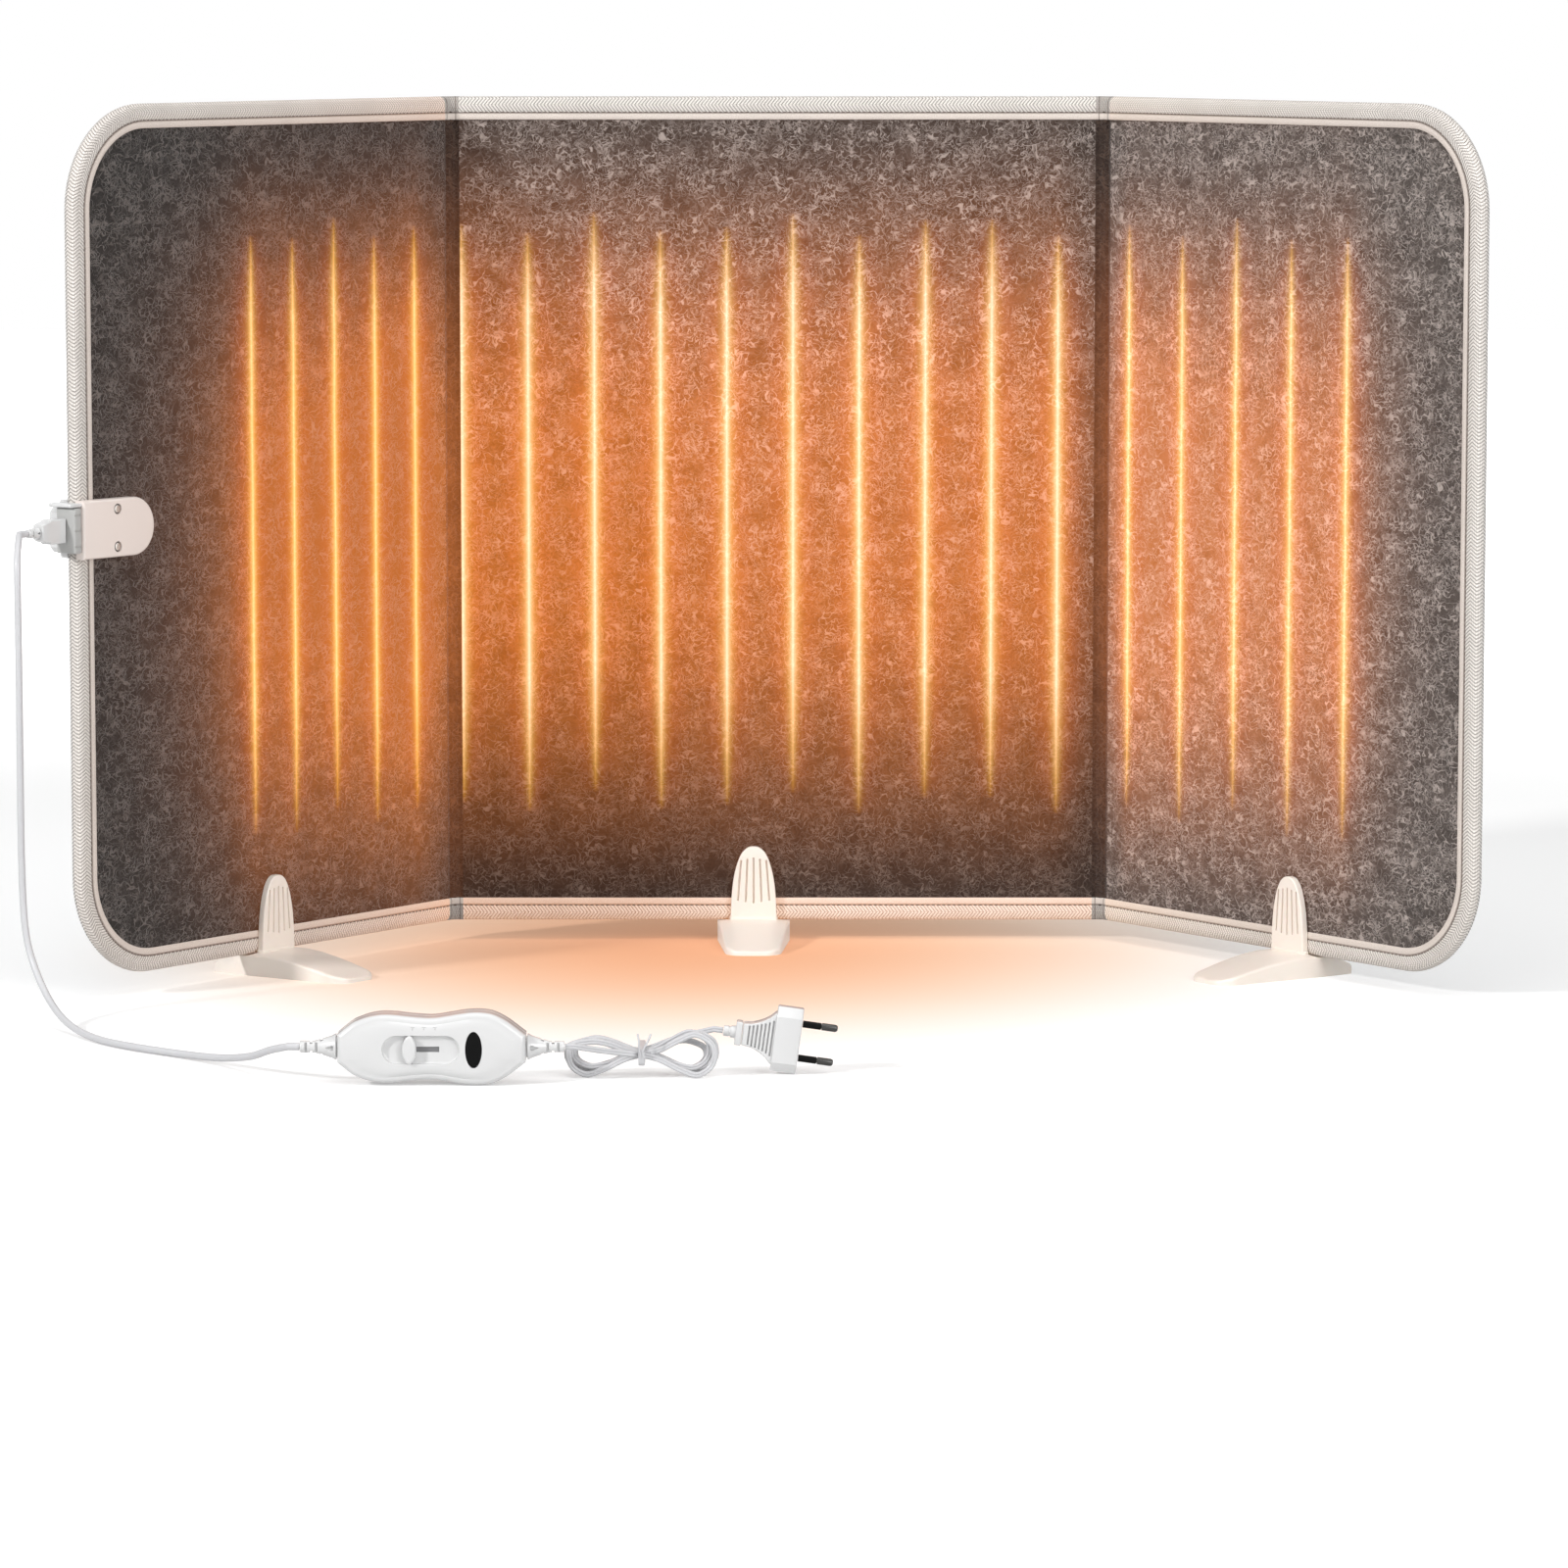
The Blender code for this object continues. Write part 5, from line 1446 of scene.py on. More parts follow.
# Feet
@dataclass
class ClipFoot:
    """A clip-on foot: a low sloping base and two tongues that grip the panel."""

    node: str
    body: str
    place: Matrix
    seat: float = 0.0117
    panel_depth: float = PANEL_DEPTH
    gap: float = GAP
    heel_width: float = 0.044
    toe_width: float = 0.034
    toe_reach: float = 0.068
    heel_reach: float = 0.02
    toe_round: float = 0.011
    rim_round: float = 0.0016
    fillet_round: float = 0.0011
    cover: float = 0.0016
    tongue_width: float = 0.0283
    tongue_height: float = 0.046
    tongue_thickness: float = 0.0042
    groove_pitch: float = 0.0043
    groove_lean_deg: float = 2.2

    def base(self) -> Shape:
        """The base: its plan, drawn up to a soft sloping top.

        Returns:
            The closed bmesh.
        """
        toe, heel = -self.toe_reach, self.panel_depth + self.heel_reach
        corner = self.toe_width / 2 - self.toe_round
        plan = [(self.heel_width / 2 - 0.002, heel), (self.heel_width / 2, heel - 0.002),
            (self.heel_width / 2, 0.0)]
        for i in range(9):
            angle = math.radians(90 * i / 8)
            plan.append((corner + self.toe_round * math.cos(angle),
                toe + self.toe_round * (1 - math.sin(angle))))
        plan += [(-x, y) for x, y in reversed(plan)]
        shape = prism([(x, y, 0.0) for x, y in plan], (0.0, 0.0, self.seat))
        for y in (-0.058, -0.046, -0.034, -0.022, -0.01, -0.0045, 0.0, self.panel_depth, 0.0135, 0.018,
                0.024):
            cut_across(shape, 1, y)
        for x in (-0.011, 0.0, 0.011):
            cut_across(shape, 0, x)
        upper = [vert for vert in shape.verts if vert.co.z > self.seat / 2]
        for vert in upper:
            vert.co.z = self.top_at(vert.co.x, vert.co.y)
        rim = [edge for edge in shape.edges if self.is_rim(edge)]
        soften(shape, rim, self.rim_round, 4)
        return shape

    def top_at(self, x: float, y: float) -> float:
        """Height of the base's top at a place on its plan.

        Args:
            x: Place across the foot.
            y: Place along it.

        Returns:
            The height.
        """
        full = self.seat + self.gap + self.cover
        if y > self.panel_depth:
            slope = 1 - smoothstep(0.012, self.heel_reach + self.panel_depth + 0.004, y) * 0.66
        else:
            share = min(max(-(y + 0.01) / (self.toe_reach - 0.01), 0.0), 1.0)
            slope = 1 - 0.8 * share ** 1.45
        across = (abs(x) / (self.heel_width / 2)) ** 2
        return full * slope * (1 - 0.1 * across)

    @staticmethod
    def is_rim(edge: bmesh.types.BMEdge) -> bool:
        """Whether an edge is part of the base's top rim.

        Args:
            edge: The edge.

        Returns:
            True on the rim.
        """
        if len(edge.link_faces) != 2:
            return False
        one, two = (face.normal.z for face in edge.link_faces)
        return min(one, two) < 0.35 and max(one, two) > 0.6

    def tongue(self, near: float, far: float, outside: int) -> Shape:
        """One rounded tongue between two depths.

        Args:
            near: Depth of its front face.
            far: Depth of its back face.
            outside: -1 where its front face is the outer one, 1 where the back one is.

        Returns:
            The closed bmesh.
        """
        base_z = self.seat + self.gap
        shares = ((-0.08, 1.0), (0.0, 1.0), (0.25, 0.97), (0.5, 0.9), (0.68, 0.79), (0.82, 0.65),
            (0.91, 0.5), (0.965, 0.33), (0.993, 0.14))
        half = [(self.tongue_width / 2 * share, base_z + self.tongue_height * rise, 0.0)
            for rise, share in shares]
        loop = half + [(-x, z, 0.0) for x, z, _ in reversed(half)]
        line = smooth_line(loop, 4)
        outline = [(point.x, min(point.y, base_z + self.tongue_height)) for point in line]
        rounds = (0.0022, 0.0004) if outside < 0 else (0.0004, 0.0022)
        return plate(outline, near, far, *rounds, segments=5)

    def grooves(self) -> list[Shape]:
        """Five round-bottomed grooves that draw together towards the tongue's top.

        Returns:
            The tools that cut them.
        """
        tools = []
        for i in range(5):
            offset = i - 2
            length = 0.027 - 0.0015 * abs(offset)
            bar = bmesh.new()
            bmesh.ops.create_uvsphere(bar, u_segments=12, v_segments=8, radius=0.00062)
            bmesh.ops.scale(bar, vec=(1.05, 2.9, 1.0), verts=bar.verts)
            cut_across(bar, 2, 0.0)
            for vert in bar.verts:
                vert.co.z += math.copysign(length / 2, vert.co.z) if abs(vert.co.z) > TINY else 0.0
            lean = turn_about("Y", -self.groove_lean_deg * offset)
            middle = Matrix.Translation((self.groove_pitch * offset, -self.gap - self.tongue_thickness,
                self.seat + 0.0255))
            tools.append(moved(bar, middle @ lean))
        return tools

    def fillet(self) -> Shape:
        """The soft roll round the front tongue's foot.

        Returns:
            The closed bmesh.
        """
        rise = self.seat + self.gap + self.cover
        half = self.tongue_width / 2
        loop = [(x, -self.gap - self.tongue_thickness * share) for x, share in ((-half - 0.0004, 0.0),
            (-half - 0.0002, 0.7), (-half + 0.003, 1.08), (0.0, 1.16), (half - 0.003, 1.08),
            (half + 0.0002, 0.7), (half + 0.0004, 0.0))]
        line = smooth_line([(x, y, 0.0) for x, y in loop], 5)
        shape = prism([(p.x, p.y, rise - 0.004) for p in line], (0.0, 0.0, 0.0052))
        rim = [edge for edge in shape.edges if all(vert.co.z > rise for vert in edge.verts)]
        soften(shape, rim, self.fillet_round, 4)
        return shape

    def build(self) -> Piece:
        """Makes the foot in its place.

        Returns:
            The piece.
        """
        full = self.seat + self.gap + self.cover
        front = self.tongue(-self.gap - self.tongue_thickness, -self.gap, -1)
        back = self.tongue(self.panel_depth + self.gap, self.panel_depth + self.gap + self.tongue_thickness,
            1)
        shape = carved(self.base(), [self.fillet(), front, back], "UNION")
        slot = box((-0.05, -self.gap, self.seat), (0.05, self.panel_depth + self.gap, full + 0.05))
        shape = carved(shape, [slot, *self.grooves()])
        piece = add_piece(self.node + "_clip", moved(shape, self.place), FOOT_PLASTIC.material(), 32.0)
        return settle(piece, self.body, "foot_plastic", self.node)


# Connector
@dataclass
class Connector:
    """The housing on the left wing's outer edge and the plug in it."""

    place: PanelPlace
    height: float = CONNECTOR_HEIGHT
    shell_height: float = 0.0335
    reach: float = 0.058
    outer: float = 0.331
    front_depth: float = 0.0065
    gap: float = GAP
    screw_x: float = 0.303
    screw_spacing: float = 0.0216
    screw_radius: float = 0.0022

    def stadium(self, near: float, far: float, height: float) -> list[Point2]:
        """Outline with a square outer end and a half-round inner end, on the left wing.

        Args:
            near: Where the square end lies, out from the fold.
            far: Where the round end lies.
            height: Its height.

        Returns:
            The outline.
        """
        radius = height / 2
        points = [(-near, self.height - radius), (-far - radius, self.height - radius)]
        points += arc((-far - radius, self.height), radius, [-90 + 7.5 * i for i in range(1, 24)])
        return points + [(-far - radius, self.height + radius), (-near, self.height + radius)]

    @staticmethod
    def disc(centre: Point2, radius: float) -> list[Point2]:
        """Outline of a disc."""
        return arc(centre, radius, range(0, 360, 15))

    def build(self) -> None:
        """Makes the shells, screws and socket."""
        matrix = self.place.matrix()
        face = -self.gap - self.front_depth
        centres = [(-self.screw_x, self.height + way * self.screw_spacing / 2) for way in (1, -1)]
        front = plate(self.stadium(self.outer, WING_WIDTH - self.reach, self.shell_height), face, -self.gap,
            0.0016, 0.0, 5)
        sinks = [plate(self.disc(centre, self.screw_radius + 0.0009), face - 0.002, face + 0.0018)
            for centre in centres]
        shape = carved(front, sinks)
        settle(add_piece("connector_front_cover", moved(shape, matrix), SHELL_PLASTIC.material(), 30.0),
            "left_wing", "connector_plastic", "connector_front_shell")
        for label, centre in zip(("upper", "lower"), centres):
            self.screw(label, centre, face, matrix)
        self.back(matrix)
        self.socket(matrix)

    def screw(self, label: str, centre: Point2, face: float, matrix: Matrix) -> None:
        """One small cross-head screw in its sink, over a dark disc that paints the shade in the sink's
        recess.

        Args:
            label: Upper or lower.
            centre: Its middle on the cover.
            face: Depth of the cover's face.
            matrix: The wing's frame.
        """
        head = plate(self.disc(centre, self.screw_radius), face, face + 0.0008, 0.0005, 0.0, 3)
        x, z = centre
        bars = [box((x - w, face - 0.001, z - h), (x + w, face + 0.00045, z + h))
            for w, h in ((0.0012, 0.00028), (0.00028, 0.0012))]
        shape = carved(head, bars)
        # Painted shade: a dark disc at the sink's bottom, seen round the screw head
        seat = plate(self.disc(centre, self.screw_radius + 0.0008), face + 0.0011, face + 0.0016)
        settle(add_piece(f"{label}_screw_seat", moved(seat, matrix), SINK_SHADE.material()), "left_wing",
            "screw_steel")
        settle(add_piece(f"{label}_cover_screw", moved(shape, matrix), STEEL.material(), 30.0), "left_wing",
            "screw_steel", f"connector_{label}_screw")

    def back(self, matrix: Matrix) -> None:
        """The domed back shell with its narrower outer lobe, which hoods the socket.

        Args:
            matrix: The wing's frame.
        """
        near = PANEL_DEPTH + self.gap
        dome = plate(self.stadium(0.3275, 0.3, self.shell_height), near, near + 0.0088, 0.0, 0.0052, 7)
        crown(dome, ((0.82, 0.0006), (0.72, 0.0004)), 1)
        upper = [(-WING_WIDTH + 0.006, 0.013), (-WING_WIDTH - 0.003, 0.013), (-WING_WIDTH - 0.006, 0.01)]
        outline = [(x, self.height + z) for x, z in upper]
        outline += [(x, self.height - z) for x, z in reversed(upper)]
        lobe = plate(outline, near, near + 0.0076, 0.0, 0.003, 5)
        lip = box((-0.3402, -0.0052, self.height + 0.0134), (-0.3285, near + 0.003, self.height + 0.0156),
            0.0008)
        shape = carved(dome, [lobe, lip], "UNION")
        settle(add_piece("connector_back_dome", moved(shape, matrix), WHITE_GLOSS.material(), 30.0),
            "left_wing", "connector_plastic", "connector_back_shell")

    def socket(self, matrix: Matrix) -> None:
        """The grey socket between the shells, with its mouth.

        Args:
            matrix: The wing's frame.
        """
        block = box((-0.3373, -0.0055, self.height - 0.013), (-0.3313, 0.0091, self.height + 0.013), 0.0012)
        mouth = box((-0.3413, 0.00455 - 0.003, self.height - 0.0051),
            (-0.3331, 0.00455 + 0.003, self.height + 0.0051))
        ribs = [box((-0.3379, -0.0062, self.height + at), (-0.3325, -0.0051, self.height + at + 0.0012))
            for at in (-0.0096, -0.0006, 0.0084)]
        shape = carved(block, [mouth, *ribs])
        settle(add_piece("grey_socket", moved(shape, matrix), SOCKET_GREY.material(), 30.0), "left_wing",
            "socket_plastic", "connector_socket")


@dataclass
class LeadPlug:
    """The plug that pushes into the connector, with its ribbed relief."""

    place: PanelPlace
    height: float = CONNECTOR_HEIGHT
    start: float = 0.3376
    end: float = 0.3571
    relief_length: float = 0.0085
    relief_radius: float = 0.0034
    tip_radius: float = 0.0023

    def build(self) -> list[Piece]:
        """Makes the plug's body and relief.

        Returns:
            The pieces, for the cord's list.
        """
        middle = PANEL_DEPTH / 2
        outline = [(-self.start, 0.007), (-self.start - 0.0012, 0.007), (-self.start - 0.012, 0.007),
            (-self.start - 0.0155, 0.0058), (-self.end, 0.0043)]
        upper = [(x, self.height + z) for x, z in outline]
        loop = upper + [(x, 2 * self.height - z) for x, z in reversed(upper)]
        body = plate(loop, middle - 0.0039, middle + 0.0039, 0.001, 0.001, 4)
        notches = [box((-self.start - 0.0162, middle - 0.006, self.height + z - 0.0009),
            (-self.start - 0.0132, middle + 0.006, self.height + z + 0.0009)) for z in (0.0064, -0.0064)]
        body = carved(body, notches)
        nose = box((-self.start - 0.001, middle - 0.0027, self.height - 0.0048),
            (-self.start + 0.0039, middle + 0.0027, self.height + 0.0048), 0.0004)
        body = carved(body, [nose], "UNION")
        matrix = self.place.matrix()
        plug = settle(add_piece("lead_plug_grip", moved(body, matrix), WHITE_GLOSS.material(), 32.0),
            "lead_plug", "controller_plastic", "lead_plug_body")
        sleeve = strain_relief(self.relief_length, self.relief_radius, self.tip_radius, 3)
        seat = Matrix.Translation((-self.end - 0.0003, middle, self.height)) @ Matrix.Rotation(math.pi, 4,
            "Z")
        relief = settle(add_piece("lead_plug_sleeve", moved(sleeve, matrix @ seat), WHITE_GLOSS.material()),
            "lead_plug", "controller_plastic", "lead_plug_relief")
        return [plug, relief]


def strain_relief(length: float, base: float, tip: float, rings: int, flare: float = 1.0) -> Shape:
    """A tapered strain relief along X, its slots in turn on one pair of sides and the other.

    Args:
        length: Its length.
        base: Radius at its root.
        tip: Radius at its tip.
        rings: How many slotted rings it has.
        flare: Share of the length over which it draws in.

    Returns:
        The closed bmesh.
    """
    profile = [(0.0, 0.0), (0.0, base * 0.8), (0.0005, base * 0.8), (0.0005, base * 0.97), (0.0007, base)]
    for i in range(1, 9):
        share = i / 8
        radius = base + (tip - base) * min(share / flare, 1.0) ** 0.8
        profile.append((length * (0.02 + 0.95 * share), radius))
    profile += [(length, tip * 0.9), (length, 0.0)]
    shape = turned(profile, 36)
    tools = []
    for ring in range(rings):
        at = length * (0.42 + 0.42 * ring / max(rings - 1, 1))
        width, depth = length * 0.036, tip * 0.55
        here = base + (tip - base) * min(at / length / flare, 1.0) ** 0.8
        for way in (1, -1):
            near, far = way * (here - depth), way * (base + 0.001)
            low, high = min(near, far), max(near, far)
            if ring % 2:
                tools.append(box((at - width, low, -tip * 0.8), (at + width, high, tip * 0.8)))
            else:
                tools.append(box((at - width, -tip * 0.8, low), (at + width, tip * 0.8, high)))
    drop = [(length * (0.09 + 0.22 * share), base * 0.2 * half)
        for share, half in ((0.0, 0.55), (0.08, 0.9), (0.25, 1.0), (0.6, 0.55), (1.0, 0.12))]
    drop += [(x, -z) for x, z in reversed(drop)]
    tools += [plate(drop, way * base * 0.9 - 0.0022, way * base * 0.9 + 0.0022) for way in (1, -1)]
    return carved(shape, [joined(tools)])


# Controller
@dataclass
class Controller:
    """The inline controller, standing on its long edge with its face to the front."""

    x: float = -0.183
    y: float = -0.546
    z: float = 0.0198
    length: float = 0.1
    height: float = 0.039
    depth: float = 0.022
    outline_shares: Sequence[Point2] = ((-1.0, 0.38), (-0.9, 0.59), (-0.83, 0.72), (-0.73, 0.83),
        (-0.635, 0.9), (-0.52, 0.94), (-0.385, 0.93), (-0.25, 0.89), (-0.06, 0.85), (0.06, 0.86),
        (0.23, 0.93), (0.365, 0.985), (0.5, 1.0), (0.615, 0.97), (0.71, 0.885), (0.81, 0.74), (0.9, 0.57),
        (1.0, 0.37))
    recess: tuple[float, float, float] = (-0.0262, 0.0152, 0.0152)
    slider_x: float = -0.0116
    slider_width: float = 0.0076
    slider_height: float = 0.0152
    lens_x: float = 0.0225

    def matrix(self) -> Matrix:
        """World place of the controller's middle."""
        return Matrix.Translation((self.x, self.y, self.z))

    def outline(self) -> list[Point2]:
        """The whole outline, smoothed between its chosen points.

        Returns:
            Points (x, z).
        """
        upper = [(x * self.length / 2, share * self.height / 2, 0.0) for x, share in self.outline_shares]
        line = smooth_line(upper, 4)
        return [(p.x, p.y) for p in line] + [(p.x, -p.y) for p in reversed(line)]

    def oval(self, width: float, height: float) -> list[Point2]:
        """Outline of the lens."""
        circle = arc((0.0, 0.0), 0.5, range(0, 360, 9))
        return [(self.lens_x + width * x, height * z) for x, z in circle]

    def slot(self, start: float, end: float, height: float) -> list[Point2]:
        """Outline of a slot with round ends."""
        radius = height / 2
        return [point for centre, turn in ((end - radius, -90), (start + radius, 90))
            for point in arc((centre, 0.0), radius, [turn + 11.25 * i for i in range(17)])]

    def build(self) -> list[Piece]:
        """Makes the controller's pieces.

        Returns:
            The pieces, for the cord's list.
        """
        half = self.depth / 2
        gloss = WHITE_GLOSS.material()
        pieces = []
        front = plate(self.outline(), -half + 0.0008, -0.00015, 0.0062, 0.0004, 9)
        crown(front, ((0.93, 0.0007), (0.92, 0.0006), (0.9, 0.0004), (0.86, 0.0002)), -1)
        start, end, tall = self.recess
        dish = plate(self.slot(start, end, tall), -half - 0.006, -half + 0.0013, 0.0, 0.0014, 5)
        gutter = plate([(self.slider_x, -0.00145), (0.0042, -0.00145), (0.0042, 0.00145),
            (self.slider_x, 0.00145)], -half - 0.001, -half + 0.005)
        window = plate(self.oval(0.009, 0.0196), -half - 0.006, -half + 0.0012)
        shape = carved(front, [dish, gutter, window])
        skin = BVHTree.FromBMesh(shape)
        pieces.append(self.put("controller_front_casing", shape, gloss, "controller_plastic",
            "controller_front_shell", 28.0))
        back = plate(self.outline(), 0.00015, half - 0.0008, 0.0004, 0.0062, 9)
        crown(back, ((0.86, 0.0004), (0.8, 0.0003)), 1)
        pieces.append(self.put("controller_back_casing", back, gloss, "controller_plastic",
            "controller_back_shell", 28.0))
        lens = plate(self.oval(0.0086, 0.0192), -half - 0.001, -half + 0.0011, 0.0006, 0.0, 4)
        crown(lens, ((0.8, 0.00022), (0.72, 0.00014), (0.6, 0.00006)), -1)
        pieces.append(self.put("black_oval_lens", lens, LENS_BLACK.material(), "indicator_lens",
            "indicator_lens", 40.0))
        pieces.append(self.ticks(skin))
        self.knob(-half)
        for label, way in (("left", -1), ("right", 1)):
            tip = 0.0032 if way < 0 else 0.003
            sleeve = strain_relief(RELIEF_LENGTH, 0.0071, tip, 4, 0.62)
            turn = Matrix.Rotation(math.pi if way < 0 else 0.0, 4, "Z")
            seat = Matrix.Translation((way * (self.length / 2 + 0.0003), 0.0, 0.0)) @ turn
            pieces.append(self.put(f"{label}_cord_sleeve", moved(sleeve, seat), gloss, "controller_plastic",
                f"{label}_strain_relief", 40.0))
        return pieces

    def put(self, name: str, shape: Shape, material: Material, slot: str, node: str,
            smooth_deg: float) -> Piece:
        """Adds one root piece that replaces a node."""
        return settle(add_piece(name, moved(shape, self.matrix()), material, smooth_deg), "root", slot,
            node)

    def ticks(self, skin: BVHTree) -> Piece:
        """Three small raised marks over the slider, one for each heat.

        Args:
            skin: The front casing's surface, which they lie on.

        Returns:
            The piece.
        """
        marks = []
        for i in range(3):
            x = -0.0098 + 0.006 * i
            for half_width, low, high in ((0.0011, 0.0118, 0.0122), (0.0002, 0.01, 0.0117)):
                rise = (low + high) / 2
                face = skin.ray_cast(Vector((x, -1.0, rise)), Vector((0.0, 1.0, 0.0)))[0].y
                marks.append(box((x - half_width, face - 0.00008, low),
                    (x + half_width, face + 0.0003, high), 0.0001))
        piece = add_piece("heat_marks", moved(joined(marks), self.matrix()), TICK_GREY.material())
        return settle(piece, "root", "controller_plastic")

    def knob(self, face: float) -> Piece:
        """The leaf-shaped slider knob, which stands proud of its dish.

        Args:
            face: Depth of the casing's face.

        Returns:
            The piece.
        """
        shares = ((-1.0, 0.04), (-0.92, 0.36), (-0.68, 0.7), (-0.35, 0.93), (0.0, 1.0), (0.35, 0.93),
            (0.68, 0.7), (0.92, 0.36), (1.0, 0.04))
        right = [(self.slider_width / 2 * share, self.slider_height / 2 * rise, 0.0)
            for rise, share in shares]
        loop = smooth_line(right + [(-x, z, 0.0) for x, z, _ in reversed(right[1:-1])], 4, closed=True)
        outline = [(self.slider_x + p.x, p.y) for p in loop]
        shape = plate(outline, face - 0.0032, face + 0.001, 0.0016, 0.0, 5)
        crown(shape, ((0.75, 0.0001),), -1)
        piece = add_piece("leaf_slider", moved(shape, self.matrix()), WHITE_GLOSS.material(), 30.0)
        return settle(piece, "slider", "controller_plastic", "slider_knob")


# Cords
def swept_tube(points: Sequence[Vector], diameter: float, sides: int, twin: float = 0.0) -> Shape:
    """A closed tube along a line: a ring carried from point to point without twist.

    Args:
        points: The line.
        diameter: The tube's diameter, or a twin flex's width.
        sides: How many sides the ring has.
        twin: How far each core's middle lies from the flex's, as a share of half its width.

    Returns:
        The closed bmesh.
    """
    shape = bmesh.new()
    ways = []
    for i, point in enumerate(points):
        ahead = points[min(i + 1, len(points) - 1)] - points[max(i - 1, 0)]
        ways.append(ahead.normalized())
    turn = turn_between(UP, ways[0])
    matrix = Matrix.Translation(points[0]) @ turn
    ring = bmesh.ops.create_circle(shape, cap_ends=True, segments=sides, radius=diameter / 2, matrix=matrix)
    apart, core = twin * diameter / 2, (1.0 - twin) * diameter / 2
    if twin:
        for vert in ring["verts"]:
            local = matrix.inverted() @ vert.co
            angle = math.atan2(local.y, local.x)
            reach = apart * abs(math.cos(angle)) + math.sqrt(core ** 2 - (apart * math.sin(angle)) ** 2)
            vert.co = matrix @ Vector((reach * math.cos(angle), reach * math.sin(angle), 0.0))
    edges = list({edge for vert in ring["verts"] for edge in vert.link_edges})
    layer = shape.verts.layers.float_vector.new("cloth")
    run = 0.0
    for i in range(1, len(points)):
        turn = turn_between(ways[i - 1], ways[i]) @ turn
        new = Matrix.Translation(points[i]) @ turn
        verts, edges = grow(shape, edges, new @ matrix.inverted())
        matrix = new
        run += (points[i] - points[i - 1]).length
        for vert in verts:
            vert[layer] = (run, 0.0, 0.0)
    bmesh.ops.contextual_create(shape, geom=edges)
    bmesh.ops.recalc_face_normals(shape, faces=shape.faces)
    return shape


# The lead's route between its stub at the plug and the controller, as the solids have it
LEAD_POINTS = ((-0.4262, -0.304, 0.2695), (-0.4262, -0.312, 0.261), (-0.4258, -0.3165, 0.245),
    (-0.4255, -0.3178, 0.2), (-0.4255, -0.318, 0.14), (-0.4252, -0.3188, 0.085), (-0.423, -0.323, 0.05),
    (-0.4165, -0.332, 0.029), (-0.4055, -0.3495, 0.012), (-0.3915, -0.378, 0.0042),
    (-0.3735, -0.411, 0.0024), (-0.352, -0.437, 0.0024), (-0.326, -0.46, 0.0024), (-0.302, -0.485, 0.004),
    (-0.283, -0.512, 0.009), (-0.27, -0.534, 0.016))


@dataclass
class LeadCord:
    """The lead from the connector's plug down to the floor and along it to the controller."""

    place: PanelPlace
    controller: Controller
    diameter: float = 0.004
    start: float = 0.3662
    stub: float = 0.006
    height: float = CONNECTOR_HEIGHT

    def route(self) -> list[Vector]:
        """The cord's centreline.

        Returns:
            The route's points.
        """
        middle = PANEL_DEPTH / 2
        exit_point = self.place.point(self.start, middle, self.height)
        stub = self.place.point(self.start + self.stub, middle, self.height)
        reach = self.controller.length / 2 + RELIEF_LENGTH + 2 * GAP
        end = Vector((self.controller.x - reach, self.controller.y, self.controller.z))
        run = end - Vector((self.diameter * 1.5, 0.0, 0.0))
        line = even_steps(smooth_line([stub, *LEAD_POINTS, run], 20), 0.004)
        return [exit_point, *line, end]

    def build(self, with_pieces: Sequence[Piece]) -> None:
        """Makes the lead, from the left wing's plug down to the floor.

        Args:
            with_pieces: The pieces on the cord; not used.
        """
        route = self.route()
        shape = swept_tube(route, self.diameter, 16)
        piece = add_piece("lead_cable", shape, CORD_PVC.material())
        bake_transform(piece)
        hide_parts("lead_cord")
        log.info("%s is %.3f m long", piece.name, run_length(route))


